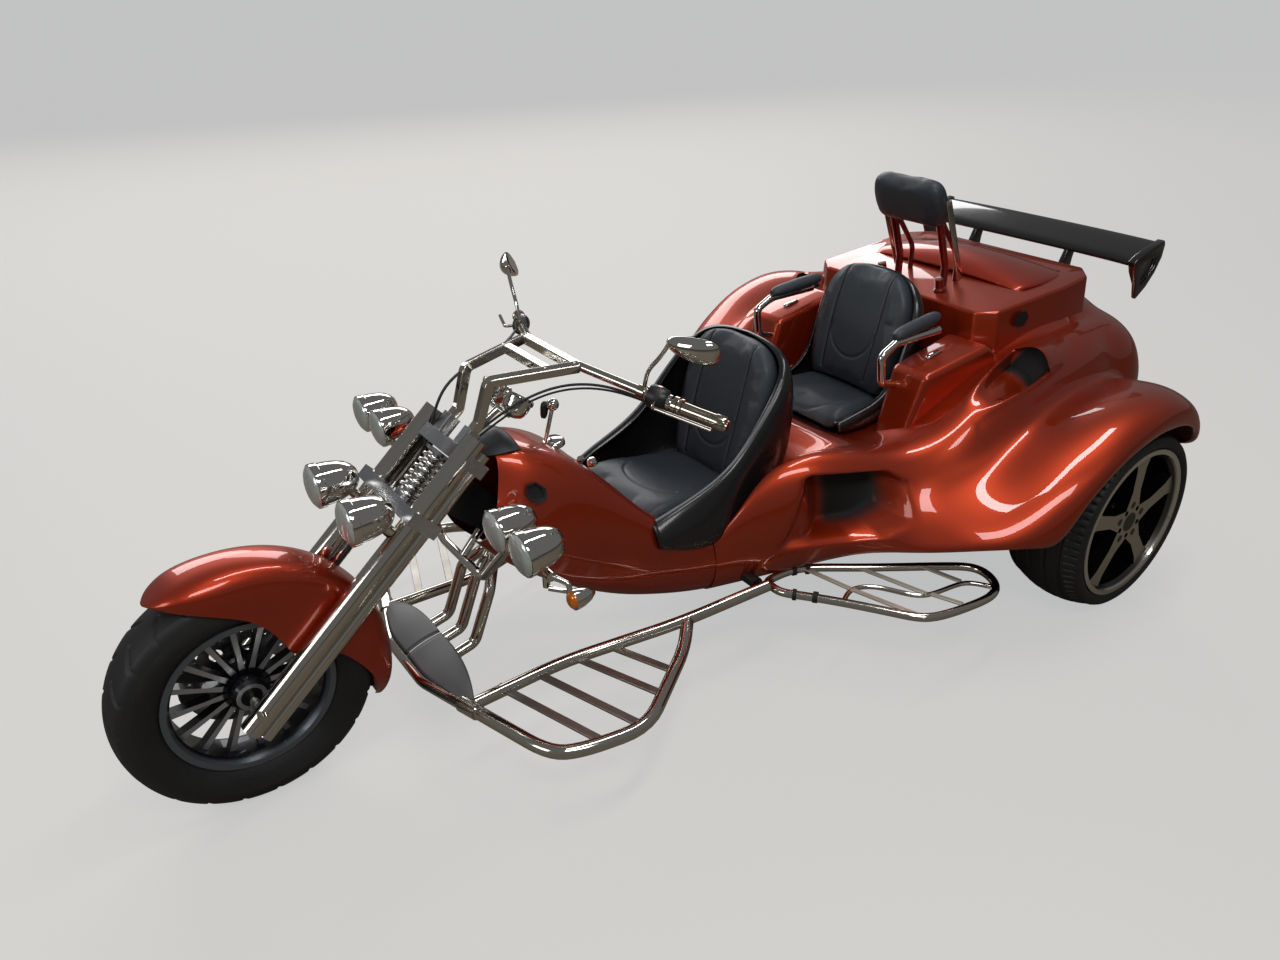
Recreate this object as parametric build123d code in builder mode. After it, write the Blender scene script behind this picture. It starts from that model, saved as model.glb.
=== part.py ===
from build123d import *
from math import atan2, cos, radians, sin
import os

# Motorized trike, millimetres. X forward, Y to the rider's left, Z up.
# The origin is on the floor under the middle of the vehicle's box.
# Stations along X are given from the rear axle, and at() moves them into the frame.

# Driving dimensions
wheelbase = 2530.0
rear_overhang = 650.0
overall_width = 1850.0

front_tyre_radius = 326.0
front_tyre_width = 156.0
front_bead_radius = 203.0
rear_tyre_radius = 320.0
rear_tyre_width = 264.0
rear_bead_radius = 241.0
flange_height = 12.0
flange_thickness = 7.0
barrel_wall = 15.0
seat_gap = 0.3
front_rim_inset = 26.0
rear_rim_inset = 12.0
fender_cover = 23.0
tyre_clearance = 16.0

rake = 49.0
leg_spread = 248.0
leg_radius = 29.0
leg_setback = 15.0
rear_tube_radius = 18.0
leg_top = 857.0
leg_bottom = -55.0
stem_offset = 106.0
head_radius = 36.0
stem_radius = 15.0
running_gap = 0.05
yoke_thickness = 38.0
upper_yoke_level = 778.0
lower_yoke_level = 585.0

seat_half_width = 265.0
seat_clearance = 4.0
frame_top = 300.0
frame_bottom = 235.0
backbone_half_width = 40.0
tube_radius = 19.0
board_level = 200.0

rear_axle_x = -(wheelbase + front_tyre_radius - rear_overhang) / 2
track = overall_width - 2 * fender_cover - rear_tyre_width
front_rim_width = front_tyre_width - 2 * front_rim_inset
rear_rim_width = rear_tyre_width - 2 * rear_rim_inset
side_planes = {"left": 1, "right": -1}


def at(x, y, z):
    return Vector(rear_axle_x + x, y, z)


# A station given as its distance behind the front axle
def behind_front(distance):
    return wheelbase - distance


# A plane seen from the vehicle's right side: local x is the station, local y is the height.
def side_view(y=0.0):
    return Plane(origin=at(0, y, 0), x_dir=(1, 0, 0), z_dir=(0, -1, 0))


# A plane across the vehicle at a station: local x is Y, local y is the height.
# It also holds a wheel's axle, where local y is the radius.
def cross_view(station, height=0.0):
    return Plane(origin=at(station, 0, height), x_dir=(0, 1, 0), z_dir=(1, 0, 0))


# The fork's own plane: local x is ahead of the legs, local y is Y, and its normal runs up the legs.
fork_ahead = (cos(radians(rake)), 0, sin(radians(rake)))
fork_up = (-sin(radians(rake)), 0, cos(radians(rake)))
fork_plane = Plane(origin=at(wheelbase, 0, front_tyre_radius), x_dir=fork_ahead, z_dir=fork_up)


def on_fork(ahead, y, up):
    return fork_plane.from_local_coords((ahead, y, up))


# The station and height of a point in the fork's middle plane
def fork_point(ahead, up):
    point = on_fork(ahead, 0, up)
    return (point.X - rear_axle_x, point.Z)


def both_sides(points):
    return points + [(x, -y, z) for x, y, z in reversed(points)]


# A round tube along straight runs joined by arcs.
def tube(points, radius, bend=60.0):
    with BuildPart() as piece:
        with BuildLine() as path:
            if len(points) > 2:
                FilletPolyline(*points, radius=bend)
            else:
                Line(*points)
        with BuildSketch(Plane(origin=path.line @ 0, z_dir=path.line % 0)):
            Circle(radius)
        sweep()
    return piece.part


# A square tube along straight runs joined by arcs, with a side of its section level.
def square_tube(points, width, bend):
    with BuildPart() as piece:
        with BuildLine() as path:
            FilletPolyline(*points, radius=bend)
        start, run = path.line @ 0, path.line % 0
        with BuildSketch(Plane(origin=start, x_dir=run.cross(Vector(0, 0, 1)), z_dir=run)):
            RectangleRounded(width, width, width * 0.14)
        sweep()
    return piece.part


# A plate with a side outline, from one Y to another.
def side_plate(outline, near_y, far_y):
    with BuildPart() as piece:
        with BuildSketch(side_view(max(near_y, far_y))):
            with BuildLine():
                Polyline(*outline, close=True)
            make_face()
        extrude(amount=abs(far_y - near_y))
    return piece.part


def cylinder_between(start, end, radius):
    return tube([start, end], radius)


# Main frame: the head tube, a backbone that drops behind it, two side rails and cross tubes.
head_low = lower_yoke_level + yoke_thickness + 2
head_high = upper_yoke_level - 2
backbone_ahead = -stem_offset - head_radius + 7.5
backbone_bend = behind_front(1030)
backbone_top = [fork_point(backbone_ahead, head_high - 21), (backbone_bend, 330), (backbone_bend - 45, frame_top),
                (360, frame_top)]
backbone_low = [(360, frame_bottom), (backbone_bend, frame_bottom), fork_point(backbone_ahead, head_low + 25)]
backbone_tilt = atan2(backbone_low[2][1] - backbone_low[1][1], backbone_low[2][0] - backbone_low[1][0])
rail_y = 230.0
rail_half_width = 25.0
board_tube_station = 1120.0
board_tube_height = 262.0
board_rail_y = 396.0
board_tube_reach = board_rail_y - tube_radius - 6.5
arm_pivot_station = 420.0
arm_pivot_height = 270.0
arch_inner_y = track / 2 - rear_tyre_width / 2 - tyre_clearance
arm_y = arch_inner_y - 122
arm_half_width = 25.0
arm_pivot_half_width = arm_y + 60


# A point at a distance up the backbone's sloping underside, and out from it
def under_backbone(along, y, out):
    station, height = backbone_low[1]
    return at(station + along * cos(backbone_tilt) + out * sin(backbone_tilt), y,
              height + along * sin(backbone_tilt) - out * cos(backbone_tilt))


with BuildPart() as main_frame:
    add(side_plate(backbone_top + backbone_low, -backbone_half_width, backbone_half_width))
    with BuildSketch(fork_plane.offset(head_low)):
        with Locations((-stem_offset, 0)):
            Circle(head_radius)
    extrude(amount=head_high - head_low)
    for side in side_planes.values():
        with BuildSketch(Plane.XY.offset(frame_bottom)):
            with Locations((rear_axle_x + 340, side * rail_y)):
                Rectangle(1480, 2 * rail_half_width)
        extrude(amount=frame_top - frame_bottom)
    for station in (1040, 372, -380):
        with BuildSketch(Plane.XY.offset(frame_bottom)):
            with Locations((rear_axle_x + station, 0)):
                Rectangle(60, 2 * rail_y)
        extrude(amount=frame_top - frame_bottom)
    add(cylinder_between(at(board_tube_station, -board_tube_reach, board_tube_height),
                         at(board_tube_station, board_tube_reach, board_tube_height), tube_radius))
    add(cylinder_between(at(arm_pivot_station, -arm_pivot_half_width, arm_pivot_height),
                         at(arm_pivot_station, arm_pivot_half_width, arm_pivot_height), 24))
    with BuildSketch(fork_plane.offset(head_low - 1)):
        with Locations((-stem_offset, 0)):
            Circle(stem_radius + running_gap)
    extrude(amount=head_high - head_low + 2, mode=Mode.SUBTRACT)

# Wheels
spoke_counts = {"front": 16, "rear": 5}


def tyre(station, centre_y, radius, width, bead_radius, bead_width):
    half, bead = width / 2, bead_width / 2 - seat_gap
    inner = bead_radius + seat_gap
    flange_top = bead_radius + flange_height + seat_gap
    shoulder = radius - 0.09 * width
    with BuildPart() as piece:
        with BuildSketch(cross_view(station, radius)):
            with BuildLine():
                Polyline((centre_y - bead, flange_top), (centre_y - bead, inner), (centre_y + bead, inner),
                         (centre_y + bead, flange_top))
                ThreePointArc((centre_y + bead, flange_top), (centre_y + half, (flange_top + shoulder) / 2),
                              (centre_y + 0.82 * half, shoulder))
                ThreePointArc((centre_y + 0.82 * half, shoulder), (centre_y, radius),
                              (centre_y - 0.82 * half, shoulder))
                ThreePointArc((centre_y - 0.82 * half, shoulder), (centre_y - half, (flange_top + shoulder) / 2),
                              (centre_y - bead, flange_top))
            make_face()
        revolve(axis=Axis(at(station, 0, radius), (0, 1, 0)))
    return piece.part


# A rim barrel with a drop centre: flanges at both edges and a well between the bead seats
def rim_barrel(station, centre_y, radius, bead_radius, width):
    half = width / 2
    with BuildPart() as piece:
        with BuildSketch(cross_view(station, radius)):
            with BuildLine():
                Polyline((centre_y - half, bead_radius), (centre_y + half, bead_radius),
                         (centre_y + half, bead_radius + flange_height),
                         (centre_y + half + flange_thickness, bead_radius + flange_height),
                         (centre_y + half + flange_thickness, bead_radius - 4),
                         (centre_y + half - 14, bead_radius - barrel_wall),
                         (centre_y - half + 14, bead_radius - barrel_wall),
                         (centre_y - half - flange_thickness, bead_radius - 4),
                         (centre_y - half - flange_thickness, bead_radius + flange_height),
                         (centre_y - half, bead_radius + flange_height), close=True)
            make_face()
        revolve(axis=Axis(at(station, 0, radius), (0, 1, 0)))
    return piece.part


front_hub_radius = 46.0
front_hub_half = 58.0
front_spoke_half = 15.0
axle_radius = 12.0
with BuildPart() as front_tyre:
    add(tyre(wheelbase, 0, front_tyre_radius, front_tyre_width, front_bead_radius, front_rim_width))
with BuildPart() as front_rim:
    add(rim_barrel(wheelbase, 0, front_tyre_radius, front_bead_radius, front_rim_width))
    with BuildSketch(side_view()):
        with Locations((wheelbase, front_tyre_radius)):
            with PolarLocations(0, spoke_counts["front"]):
                Polygon((35, -9), (100, -6), (front_bead_radius - 8, -8), (front_bead_radius - 8, 8), (100, 6),
                        (35, 9), align=None)
    extrude(amount=front_spoke_half, both=True)
    with BuildSketch(cross_view(wheelbase, front_tyre_radius)):
        with BuildLine():
            Polyline((-front_hub_half, 0), (-front_hub_half, front_hub_radius - 8), (-front_hub_half + 10, front_hub_radius),
                     (-24, front_hub_radius), (0, front_hub_radius - 8), (24, front_hub_radius),
                     (front_hub_half - 10, front_hub_radius), (front_hub_half, front_hub_radius - 8),
                     (front_hub_half, 0), close=True)
        make_face()
    revolve(axis=Axis(at(wheelbase, 0, front_tyre_radius), (0, 1, 0)))
    with BuildSketch(side_view()):
        with Locations((wheelbase, front_tyre_radius)):
            Circle(axle_radius + running_gap)
    extrude(amount=front_hub_half + 1, both=True, mode=Mode.SUBTRACT)

disc_radius = 146.0
disc_side_y = -66.0
disc_thickness = 5.0
with BuildPart() as brake_disc:
    with BuildSketch(side_view(disc_side_y)):
        with Locations((wheelbase, front_tyre_radius)):
            Circle(disc_radius)
            Circle(28, mode=Mode.SUBTRACT)
            with PolarLocations(82, 6):
                Circle(17, mode=Mode.SUBTRACT)
            with PolarLocations(122, 24):
                Circle(4.5, mode=Mode.SUBTRACT)
    extrude(amount=disc_thickness)
    with BuildSketch(side_view(-front_hub_half)):
        with Locations((wheelbase, front_tyre_radius)):
            Circle(front_hub_radius - 8)
            Circle(26, mode=Mode.SUBTRACT)
    extrude(amount=-disc_side_y - front_hub_half)

rear_hub_radius = 62.0
spoke_outer_y = rear_rim_width / 2 - 8
spoke_depth = 44.0
stub_radius = 22.0
wheel_bolt_circle = 50.0
rear_wheels = {}
for name, side in side_planes.items():
    centre_y = side * track / 2
    with BuildPart() as rear_tyre:
        add(tyre(0, centre_y, rear_tyre_radius, rear_tyre_width, rear_bead_radius, rear_rim_width))
    with BuildPart() as rear_rim:
        add(rim_barrel(0, centre_y, rear_tyre_radius, rear_bead_radius, rear_rim_width))
        face_y = centre_y + side * spoke_outer_y
        with BuildSketch(side_view(face_y)):
            with Locations((0, rear_tyre_radius)):
                with PolarLocations(0, spoke_counts["rear"], start_angle=90):
                    Polygon((40, -38), (110, -22), (190, -25), (rear_bead_radius - 8, -40),
                            (rear_bead_radius - 8, 40), (190, 25), (110, 22), (40, 38), align=None)
                Circle(rear_hub_radius)
                with PolarLocations(wheel_bolt_circle, spoke_counts["rear"], start_angle=54):
                    Circle(9, mode=Mode.SUBTRACT)
        extrude(amount=side * spoke_depth)
        with BuildSketch(side_view(face_y - side * spoke_depth)):
            with Locations((0, rear_tyre_radius)):
                Circle(rear_hub_radius + 8)
        extrude(amount=side * 60)
        with BuildSketch(side_view(face_y - side * 30)):
            with Locations((0, rear_tyre_radius)):
                Circle(stub_radius + running_gap)
        extrude(amount=side * 120, mode=Mode.SUBTRACT)
    rear_wheels[name] = (rear_tyre.part, rear_rim.part)

# Rear trailing arms with their stub axles, and the spring struts above them
stub_end = track / 2 + spoke_outer_y - 30.5
pivot_clear = 24.0 + running_gap
with BuildPart() as trailing_arms:
    for side in side_planes.values():
        add(side_plate([(arm_pivot_station + 42, arm_pivot_height - 42), (arm_pivot_station + 42, arm_pivot_height + 42),
                        (60, rear_tyre_radius + 60), (-60, rear_tyre_radius + 60), (-60, rear_tyre_radius - 60),
                        (60, rear_tyre_radius - 60)],
                       side * (arm_y - arm_half_width), side * (arm_y + arm_half_width)))
        add(cylinder_between(at(0, side * arm_y, rear_tyre_radius), at(0, side * stub_end, rear_tyre_radius), stub_radius))
        with BuildSketch(side_view(side * (arm_y + arm_half_width + 1))):
            with Locations((arm_pivot_station, arm_pivot_height)):
                Circle(pivot_clear)
        extrude(amount=side * (2 * arm_half_width + 2), mode=Mode.SUBTRACT)

strut_y = arm_y - 60
strut_low = (60.0, 345.0)
strut_high = (150.0, 600.0)
strut_collars = ((0.3, 0.36), (0.86, 0.92))
with BuildPart() as shock_absorbers:
    for side in side_planes.values():
        low = at(strut_low[0], side * strut_y, strut_low[1])
        high = at(strut_high[0], side * strut_y, strut_high[1])
        run = high - low
        add(cylinder_between(low, high, 12))
        add(cylinder_between(low + run * strut_collars[0][1], low + run * strut_collars[1][0], 24))
        for start, end in strut_collars:
            add(cylinder_between(low + run * start, low + run * end, 31))
        add(cylinder_between(low, at(strut_low[0], side * (arm_y - arm_half_width), strut_low[1]), 12))

engine_height = 280.0
with BuildPart() as engine_block:
    with BuildSketch(Plane.XY.offset(frame_top)):
        with Locations((rear_axle_x - 100, 0)):
            Rectangle(520, 420)
    extrude(amount=engine_height)

# Body: cross sections from the front seat back to the tail.
# Columns: station, then half width and height of the sill, the waist, the shoulder and the deck.
body_sections = [
    (1200, 240, 203, 285, 300, 288, 370, 250, 396),
    (1050, 300, 235, 400, 390, 398, 500, 312, 610),
    (850, 390, 290, 450, 400, 430, 570, 320, 640),
    (620, 420, 330, 540, 440, 490, 590, 340, 622),
    (480, 430, 340, 575, 470, 506, 645, 380, 662),
    (330, 440, 350, 606, 500, 520, 715, 400, 745),
    (190, 440, 354, 615, 510, 520, 770, 400, 800),
    (0, 440, 355, 616, 515, 520, 795, 400, 840),
    (-340, 430, 390, 590, 530, 510, 780, 385, 850),
    (-500, 410, 440, 540, 550, 480, 720, 350, 830),
    (-630, 380, 480, 460, 560, 430, 650, 290, 720),
]
# The tank's first column is its share of the way from the seat to the fork
tank_shares = [
    (0.0, 240, 203, 285, 300, 288, 370, 250, 396),
    (0.292, 200, 240, 265, 335, 262, 430, 210, 505),
    (0.409, 180, 285, 256, 410, 236, 570, 140, 668),
    (0.642, 145, 405, 232, 525, 206, 670, 105, 762),
    (0.861, 105, 560, 170, 640, 130, 740, 80, 800),
    (1.0, 75, 640, 100, 690, 98, 735, 75, 765),
]
tank_rear, tank_front = 1200.0, behind_front(645)
tank_sections = [(tank_rear + row[0] * (tank_front - tank_rear),) + row[1:] for row in tank_shares]
panel_gap = 1.0
fork_sweep_back = -185.0


def lofted_body(sections, arcs):
    with BuildPart() as piece:
        for station, sill_w, sill_z, waist_w, waist_z, shoulder_w, shoulder_z, deck_w, deck_z in sections:
            sill, waist, shoulder, deck = (sill_w, sill_z), (waist_w, waist_z), (shoulder_w, shoulder_z), (deck_w, deck_z)
            with BuildSketch(cross_view(station)):
                with BuildLine():
                    if arcs:
                        ThreePointArc(sill, waist, shoulder)
                        Polyline(shoulder, deck, (-deck_w, deck_z), (-shoulder_w, shoulder_z))
                        ThreePointArc((-shoulder_w, shoulder_z), (-waist_w, waist_z), (-sill_w, sill_z))
                        Line((-sill_w, sill_z), sill)
                    else:
                        half = [sill, waist, shoulder, deck]
                        Polyline(*half, *[(-y, z) for y, z in reversed(half)], close=True)
                make_face()
        loft(ruled=True)
    return piece.part


# The height of the tank's top at a station
def tank_top(station):
    for (x1, *low), (x2, *high) in zip(tank_sections, tank_sections[1:]):
        if x1 <= station <= x2:
            return low[-1] + (station - x1) * (high[-1] - low[-1]) / (x2 - x1)
    return tank_sections[-1][-1]


# The wells that the two seats sit in, as side outlines
driver_well = [(1425, 900), (1425, 452), (1300, 390 - seat_gap), (944.7, 372 - seat_gap), (886, 428), (815, 900)]
passenger_well = [(670, 1100), (670, 526 - seat_gap), (350, 526 - seat_gap), (298, 565), (190, 1100)]

arch_radius = rear_tyre_radius + 32
fender_edge_y = overall_width / 2
fender_arc = (4.0, 138.0)
duct_outline = [(1045, 405), (960, 600), (800, 585), (700, 565), (665, 490), (690, 400)]
duct_floor_y = 300.0
duct_mouth_y = 560.0
bay_front, bay_rear, bay_top = 330.0, -340.0, 640.0
bay_half = arm_y + 40
bay_profile = [(bay_half, 100), (bay_half, 560), (bay_half - 80, bay_top)]
tail_bay_rear, tail_bay_half, tail_bay_top = -600.0, 400.0, 590.0

# The raised block behind the passenger, with a low place for the headrest's posts
block_half, block_front, block_rear = 400.0, 194.0, -365.0
block_top_front, block_top_rear = 920.0, 950.0
post_floor, brace_floor = 882.0, 929.0
post_place = [(block_front + 20, post_floor), (45, post_floor), (30, brace_floor), (-5, brace_floor), (-5, 1000),
              (block_front + 20, 1000)]
post_place_half = 190.0
tail_outline = [(block_rear + 40, 700), (block_rear + 40, 918), (-436, 892), (-496, 868), (-600, 790), (-600, 700)]
tail_half = 260.0
console_outline = [(565, 500), (485, 790), (240, 838), (196, 800), (196, 500)]
console_inner_y, console_outer_y = 262.0, 415.0

# Boot and its hinge
boot_front, boot_rear, boot_half, boot_floor = -66.0, -300.0, 300.0, 670.0
lid_clearance = 7.0
hinge_station = -30.0
hinge_ears = (180.0, 220.0)
hinge_pin_radius = 5.0
hinge_rise = 17.0

# Haunch beside the passenger. Columns: station, Y, height, half width, half height
haunch_sections = [(560, 520, 600, 30, 40), (430, 535, 650, 50, 70), (300, 530, 715, 60, 70), (120, 525, 760, 62, 70),
                   (-100, 515, 770, 58, 62), (-300, 500, 750, 50, 52), (-470, 480, 715, 35, 40)]
scoop_front, scoop_rear, scoop_y, scoop_z = 460.0, 150.0, 506.0, 752.0
scoop_half_width, scoop_half_height = 44.0, 38.0

# Fender blank in a wheel's own plane: Y, then the radius of its outer skin
fender_skin = [(500, 300), (500, 318), (700, 374), (800, 386), (880, 383), (fender_edge_y, 372), (fender_edge_y, 300)]
# Apron ahead of each rear wheel. Columns: station, inner Y, outer Y, low edge, top at the body, top outside
apron_sections = [
    (300, 430, fender_edge_y, 372, 690, 560),
    (520, 430, 862, 408, 620, 500),
    (780, 400, 545, 326, 560, 420),
]


def block_top(station):
    share = (block_front - station) / (block_front - boot_rear)
    return block_top_front + share * (block_top_rear - block_top_front)


def rounded_plate(outline, near_y, far_y, corner, edge):
    with BuildPart() as piece:
        with BuildSketch(side_view(max(near_y, far_y))) as side:
            with BuildLine():
                Polyline(*outline, close=True)
            make_face()
            fillet(side.vertices(), corner)
        extrude(amount=abs(far_y - near_y))
        fillet(piece.edges().filter_by(Plane.XZ), edge)
    return piece.part


def rear_fender():
    start = radians(fender_arc[0])
    plane = Plane(origin=at(0, 0, rear_tyre_radius), x_dir=(0, 1, 0), z_dir=(sin(start), 0, -cos(start)))
    with BuildPart() as piece:
        with BuildSketch(plane):
            with BuildLine():
                Polyline(*fender_skin, close=True)
            make_face()
        revolve(axis=Axis(at(0, 0, rear_tyre_radius), (0, -1, 0)), revolution_arc=fender_arc[1])
        for station, inner_y, outer_y, low, top_in, top_out in apron_sections:
            with BuildSketch(cross_view(station)):
                with BuildLine():
                    Polyline((inner_y, low), (outer_y, low), (outer_y, top_out), (inner_y, top_in), close=True)
                make_face()
        loft(ruled=True)
    return piece.part


def haunch():
    with BuildPart() as piece:
        for station, y, z, half_width, half_height in haunch_sections:
            with BuildSketch(cross_view(station)):
                with Locations((y, z)):
                    Ellipse(half_width, half_height)
        loft()
        with BuildSketch(cross_view(scoop_front)):
            with Locations((scoop_y, scoop_z)):
                Ellipse(scoop_half_width, scoop_half_height)
        extrude(amount=scoop_rear - scoop_front, mode=Mode.SUBTRACT)
    return piece.part


def raised_block():
    inset = block_half - 18
    plan = [(block_front, 340), (block_front - 60, inset), (-180, block_half), (boot_rear, inset), (block_rear, 290)]
    with BuildPart() as piece:
        add(side_plate([(block_front, 740), (block_front, block_top_front - 26), (block_front - 26, block_top(block_front - 26)),
                        (boot_rear, block_top_rear), (block_rear + 20, 936), (block_rear, 912), (block_rear, 740)],
                       -block_half, block_half))
        with BuildSketch(Plane.XY.offset(700)):
            with BuildLine():
                Polyline(*[at(x, y, 0) for x, y in plan + [(x, -y) for x, y in reversed(plan)]], close=True)
            make_face()
        extrude(amount=400, mode=Mode.INTERSECT)
    return piece.part


hinge_z = block_top(hinge_station) + hinge_rise
with BuildPart() as body_shell:
    add(lofted_body(body_sections, True))
    left_fender = rear_fender()
    add(left_fender)
    add(left_fender.mirror(Plane.XZ))
    left_haunch = haunch()
    add(left_haunch)
    add(left_haunch.mirror(Plane.XZ))
    add(raised_block())
    add(side_plate(tail_outline, -tail_half, tail_half))
    for side in side_planes.values():
        add(rounded_plate(console_outline, side * console_inner_y, side * console_outer_y, 16, 11))
    add(side_plate(post_place, -post_place_half, post_place_half), mode=Mode.SUBTRACT)
    add(side_plate(driver_well, -seat_half_width - seat_clearance, seat_half_width + seat_clearance),
        mode=Mode.SUBTRACT)
    add(side_plate(passenger_well, -seat_half_width + 10, seat_half_width - 10), mode=Mode.SUBTRACT)
    with BuildSketch(cross_view(bay_front)):
        with BuildLine():
            Polyline(*bay_profile, *[(-y, z) for y, z in reversed(bay_profile)], close=True)
        make_face()
    extrude(amount=bay_rear - bay_front, mode=Mode.SUBTRACT)
    add(side_plate([(bay_rear + 1, 100), (bay_rear + 1, tail_bay_top), (tail_bay_rear, tail_bay_top),
                    (tail_bay_rear, 100)], -tail_bay_half, tail_bay_half), mode=Mode.SUBTRACT)
    add(side_plate([(1300, 100), (1300, frame_top), (bay_front - 10, frame_top), (bay_front - 10, 100)],
                   -rail_y - 60, rail_y + 60), mode=Mode.SUBTRACT)
    add(side_plate([(boot_front, boot_floor), (boot_front, 1200), (boot_rear, 1200), (boot_rear, boot_floor)],
                   -boot_half, boot_half), mode=Mode.SUBTRACT)
    for side in side_planes.values():
        add(side_plate(duct_outline, side * duct_floor_y, side * duct_mouth_y), mode=Mode.SUBTRACT)
        with BuildSketch(side_view(side * arch_inner_y)):
            with Locations((0, rear_tyre_radius)):
                Circle(arch_radius)
        extrude(amount=-side * 400, mode=Mode.SUBTRACT)
        add(side_plate([(arm_pivot_station + 60, 100), (arm_pivot_station + 60, 330), (120, 400), (-75, 400),
                        (-75, 100)], side * (arm_y - 90), side * (arch_inner_y + 18)), mode=Mode.SUBTRACT)
    add(cylinder_between(at(board_tube_station, -420, board_tube_height),
                         at(board_tube_station, 420, board_tube_height), tube_radius + panel_gap), mode=Mode.SUBTRACT)
    for side in side_planes.values():
        for y in hinge_ears:
            add(side_plate([(hinge_station - 10, hinge_z - 20), (hinge_station - 10, hinge_z + 8),
                            (hinge_station + 10, hinge_z + 8), (hinge_station + 10, hinge_z - 20)],
                           side * y - 4, side * y + 4))
        add(cylinder_between(at(hinge_station, side * hinge_ears[0], hinge_z), at(hinge_station, side * hinge_ears[1], hinge_z),
                             hinge_pin_radius))

with BuildPart() as tank_shell:
    add(lofted_body(tank_sections, False))
    add(side_plate(driver_well, -seat_half_width - 30, seat_half_width + 30), mode=Mode.SUBTRACT)
    add(side_plate([(1190, frame_top)] + backbone_top[2::-1] + [(wheelbase - 530, 930), (wheelbase - 230, 100), (1190, 100)],
                   -backbone_half_width - panel_gap, backbone_half_width + panel_gap), mode=Mode.SUBTRACT)
    with BuildSketch(fork_plane.offset(upper_yoke_level - 10)):
        with Locations((fork_sweep_back + 200, 0)):
            Rectangle(400, 600)
    extrude(amount=300, mode=Mode.SUBTRACT)
    with BuildSketch(fork_plane.offset(300)):
        with Locations((-stem_offset, 0)):
            Circle(head_radius + panel_gap)
    extrude(amount=600, mode=Mode.SUBTRACT)

# Boot lid: a domed panel over the boot, with a knuckle in each hinge.
# Columns: station, half width, height of the edge above the lid's base, height of the crown above the base
lid_sections = [(-48, 296, 5, 20), (-80, 318, 9, 44), (-150, 330, 10, 52), (-250, 330, 9, 38), (-330, 306, 5, 14)]
with BuildPart() as boot_lid:
    for station, half_width, edge, crown in lid_sections:
        base = block_top(max(station, boot_rear)) + lid_clearance
        with BuildSketch(cross_view(station)):
            with BuildLine():
                ThreePointArc((-half_width, base + edge), (0, base + crown), (half_width, base + edge))
                Polyline((half_width, base + edge), (half_width, base), (-half_width, base), (-half_width, base + edge))
            make_face()
    loft(ruled=True)
    for side in side_planes.values():
        middle = side * (hinge_ears[0] + hinge_ears[1]) / 2
        add(side_plate([(hinge_station, hinge_z - 9), (hinge_station, hinge_z + 6), (lid_sections[0][0] - 10, hinge_z + 6),
                        (lid_sections[0][0] - 10, hinge_z - 9)], middle - 12, middle + 12))
        add(cylinder_between(at(hinge_station, middle - 12, hinge_z), at(hinge_station, middle + 12, hinge_z), 10))
        add(cylinder_between(at(hinge_station, middle - 13, hinge_z), at(hinge_station, middle + 13, hinge_z),
                             hinge_pin_radius + running_gap), mode=Mode.SUBTRACT)

# Rear wing on two pylons, behind the lid: a blade whose ends turn down
wing_half_span = 455.0
wing_profile = [(-475, 972), (-560, 998), (-631, 1022), (-631, 1010), (-560, 978), (-490, 958)]
pylon_y = 200.0
with BuildPart() as rear_wing:
    add(side_plate(wing_profile, -wing_half_span, wing_half_span))
    for side in side_planes.values():
        add(side_plate([(-468, 985), (-631, 1034), (-631, 990), (-560, 880), (-512, 848), (-492, 862)],
                       side * wing_half_span, side * (wing_half_span + 12)))
        add(side_plate([(-457, 975), (-523, 990), (-496, 868 + seat_gap), (-436, 892 + seat_gap)],
                       side * (pylon_y - 9), side * (pylon_y + 9)))

# Seats: a cushion and back between two raised bolsters
# Side outlines, from the front lip round the seat, and the bolster's own outline
driver_seat_core = [(1415, 520), (1330, 512), (1060, 462), (1005, 490), (905, 880), (880, 908), (840, 902),
                    (822, 860), (890, 430), (945, 372), (1300, 390), (1405, 450)]
driver_seat_bolster = [(1400, 500), (1320, 545), (1130, 600), (1040, 690), (960, 790), (880, 800), (838, 770),
                       (890, 430), (945, 372), (1300, 390), (1390, 440)]
passenger_seat_core = [(640, 600), (620, 622), (440, 612), (385, 640), (320, 975), (290, 1004), (255, 1000),
                       (240, 970), (305, 570), (352, 526), (630, 526)]
passenger_seat_bolster = [(620, 600), (600, 640), (480, 650), (425, 740), (350, 900), (300, 925), (252, 900),
                          (305, 570), (352, 526), (610, 526)]
bolster_width = 58.0


def bucket_seat(core, bolster, half_width):
    with BuildPart() as piece:
        add(side_plate(core, -half_width + bolster_width, half_width - bolster_width))
        for side in side_planes.values():
            add(side_plate(bolster, side * (half_width - bolster_width), side * half_width))
    return piece.part


with BuildPart() as driver_seat:
    add(bucket_seat(driver_seat_core, driver_seat_bolster, seat_half_width))
with BuildPart() as passenger_seat:
    add(bucket_seat(passenger_seat_core, passenger_seat_bolster, seat_half_width - 15))

# Armrests beside the passenger, and the headrest on its posts
armrest_y = 290.0
armrest_level = 868.0
with BuildPart() as armrest_tubes:
    for side in side_planes.values():
        add(tube([at(502, side * armrest_y, 730), at(559, side * armrest_y, 745.8), at(572, side * armrest_y, 838),
                  at(510, side * armrest_y, armrest_level), at(310, side * armrest_y, armrest_level)], 13, 24))
with BuildPart() as armrests:
    for side in side_planes.values():
        add(rounded_plate([(515, armrest_level + 13.3), (515, armrest_level + 53), (301, armrest_level + 53),
                           (301, armrest_level + 13.3)], side * (armrest_y - 31), side * (armrest_y + 31), 16, 12))

# The posts' lines in the side view, each with its radius
post_y = 100.0
post_lines = [([(73, post_floor), (73, 990), (148, 1200)], 13), ([(10, brace_floor), (10, 1010), (118, 1150)], 9)]


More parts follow.
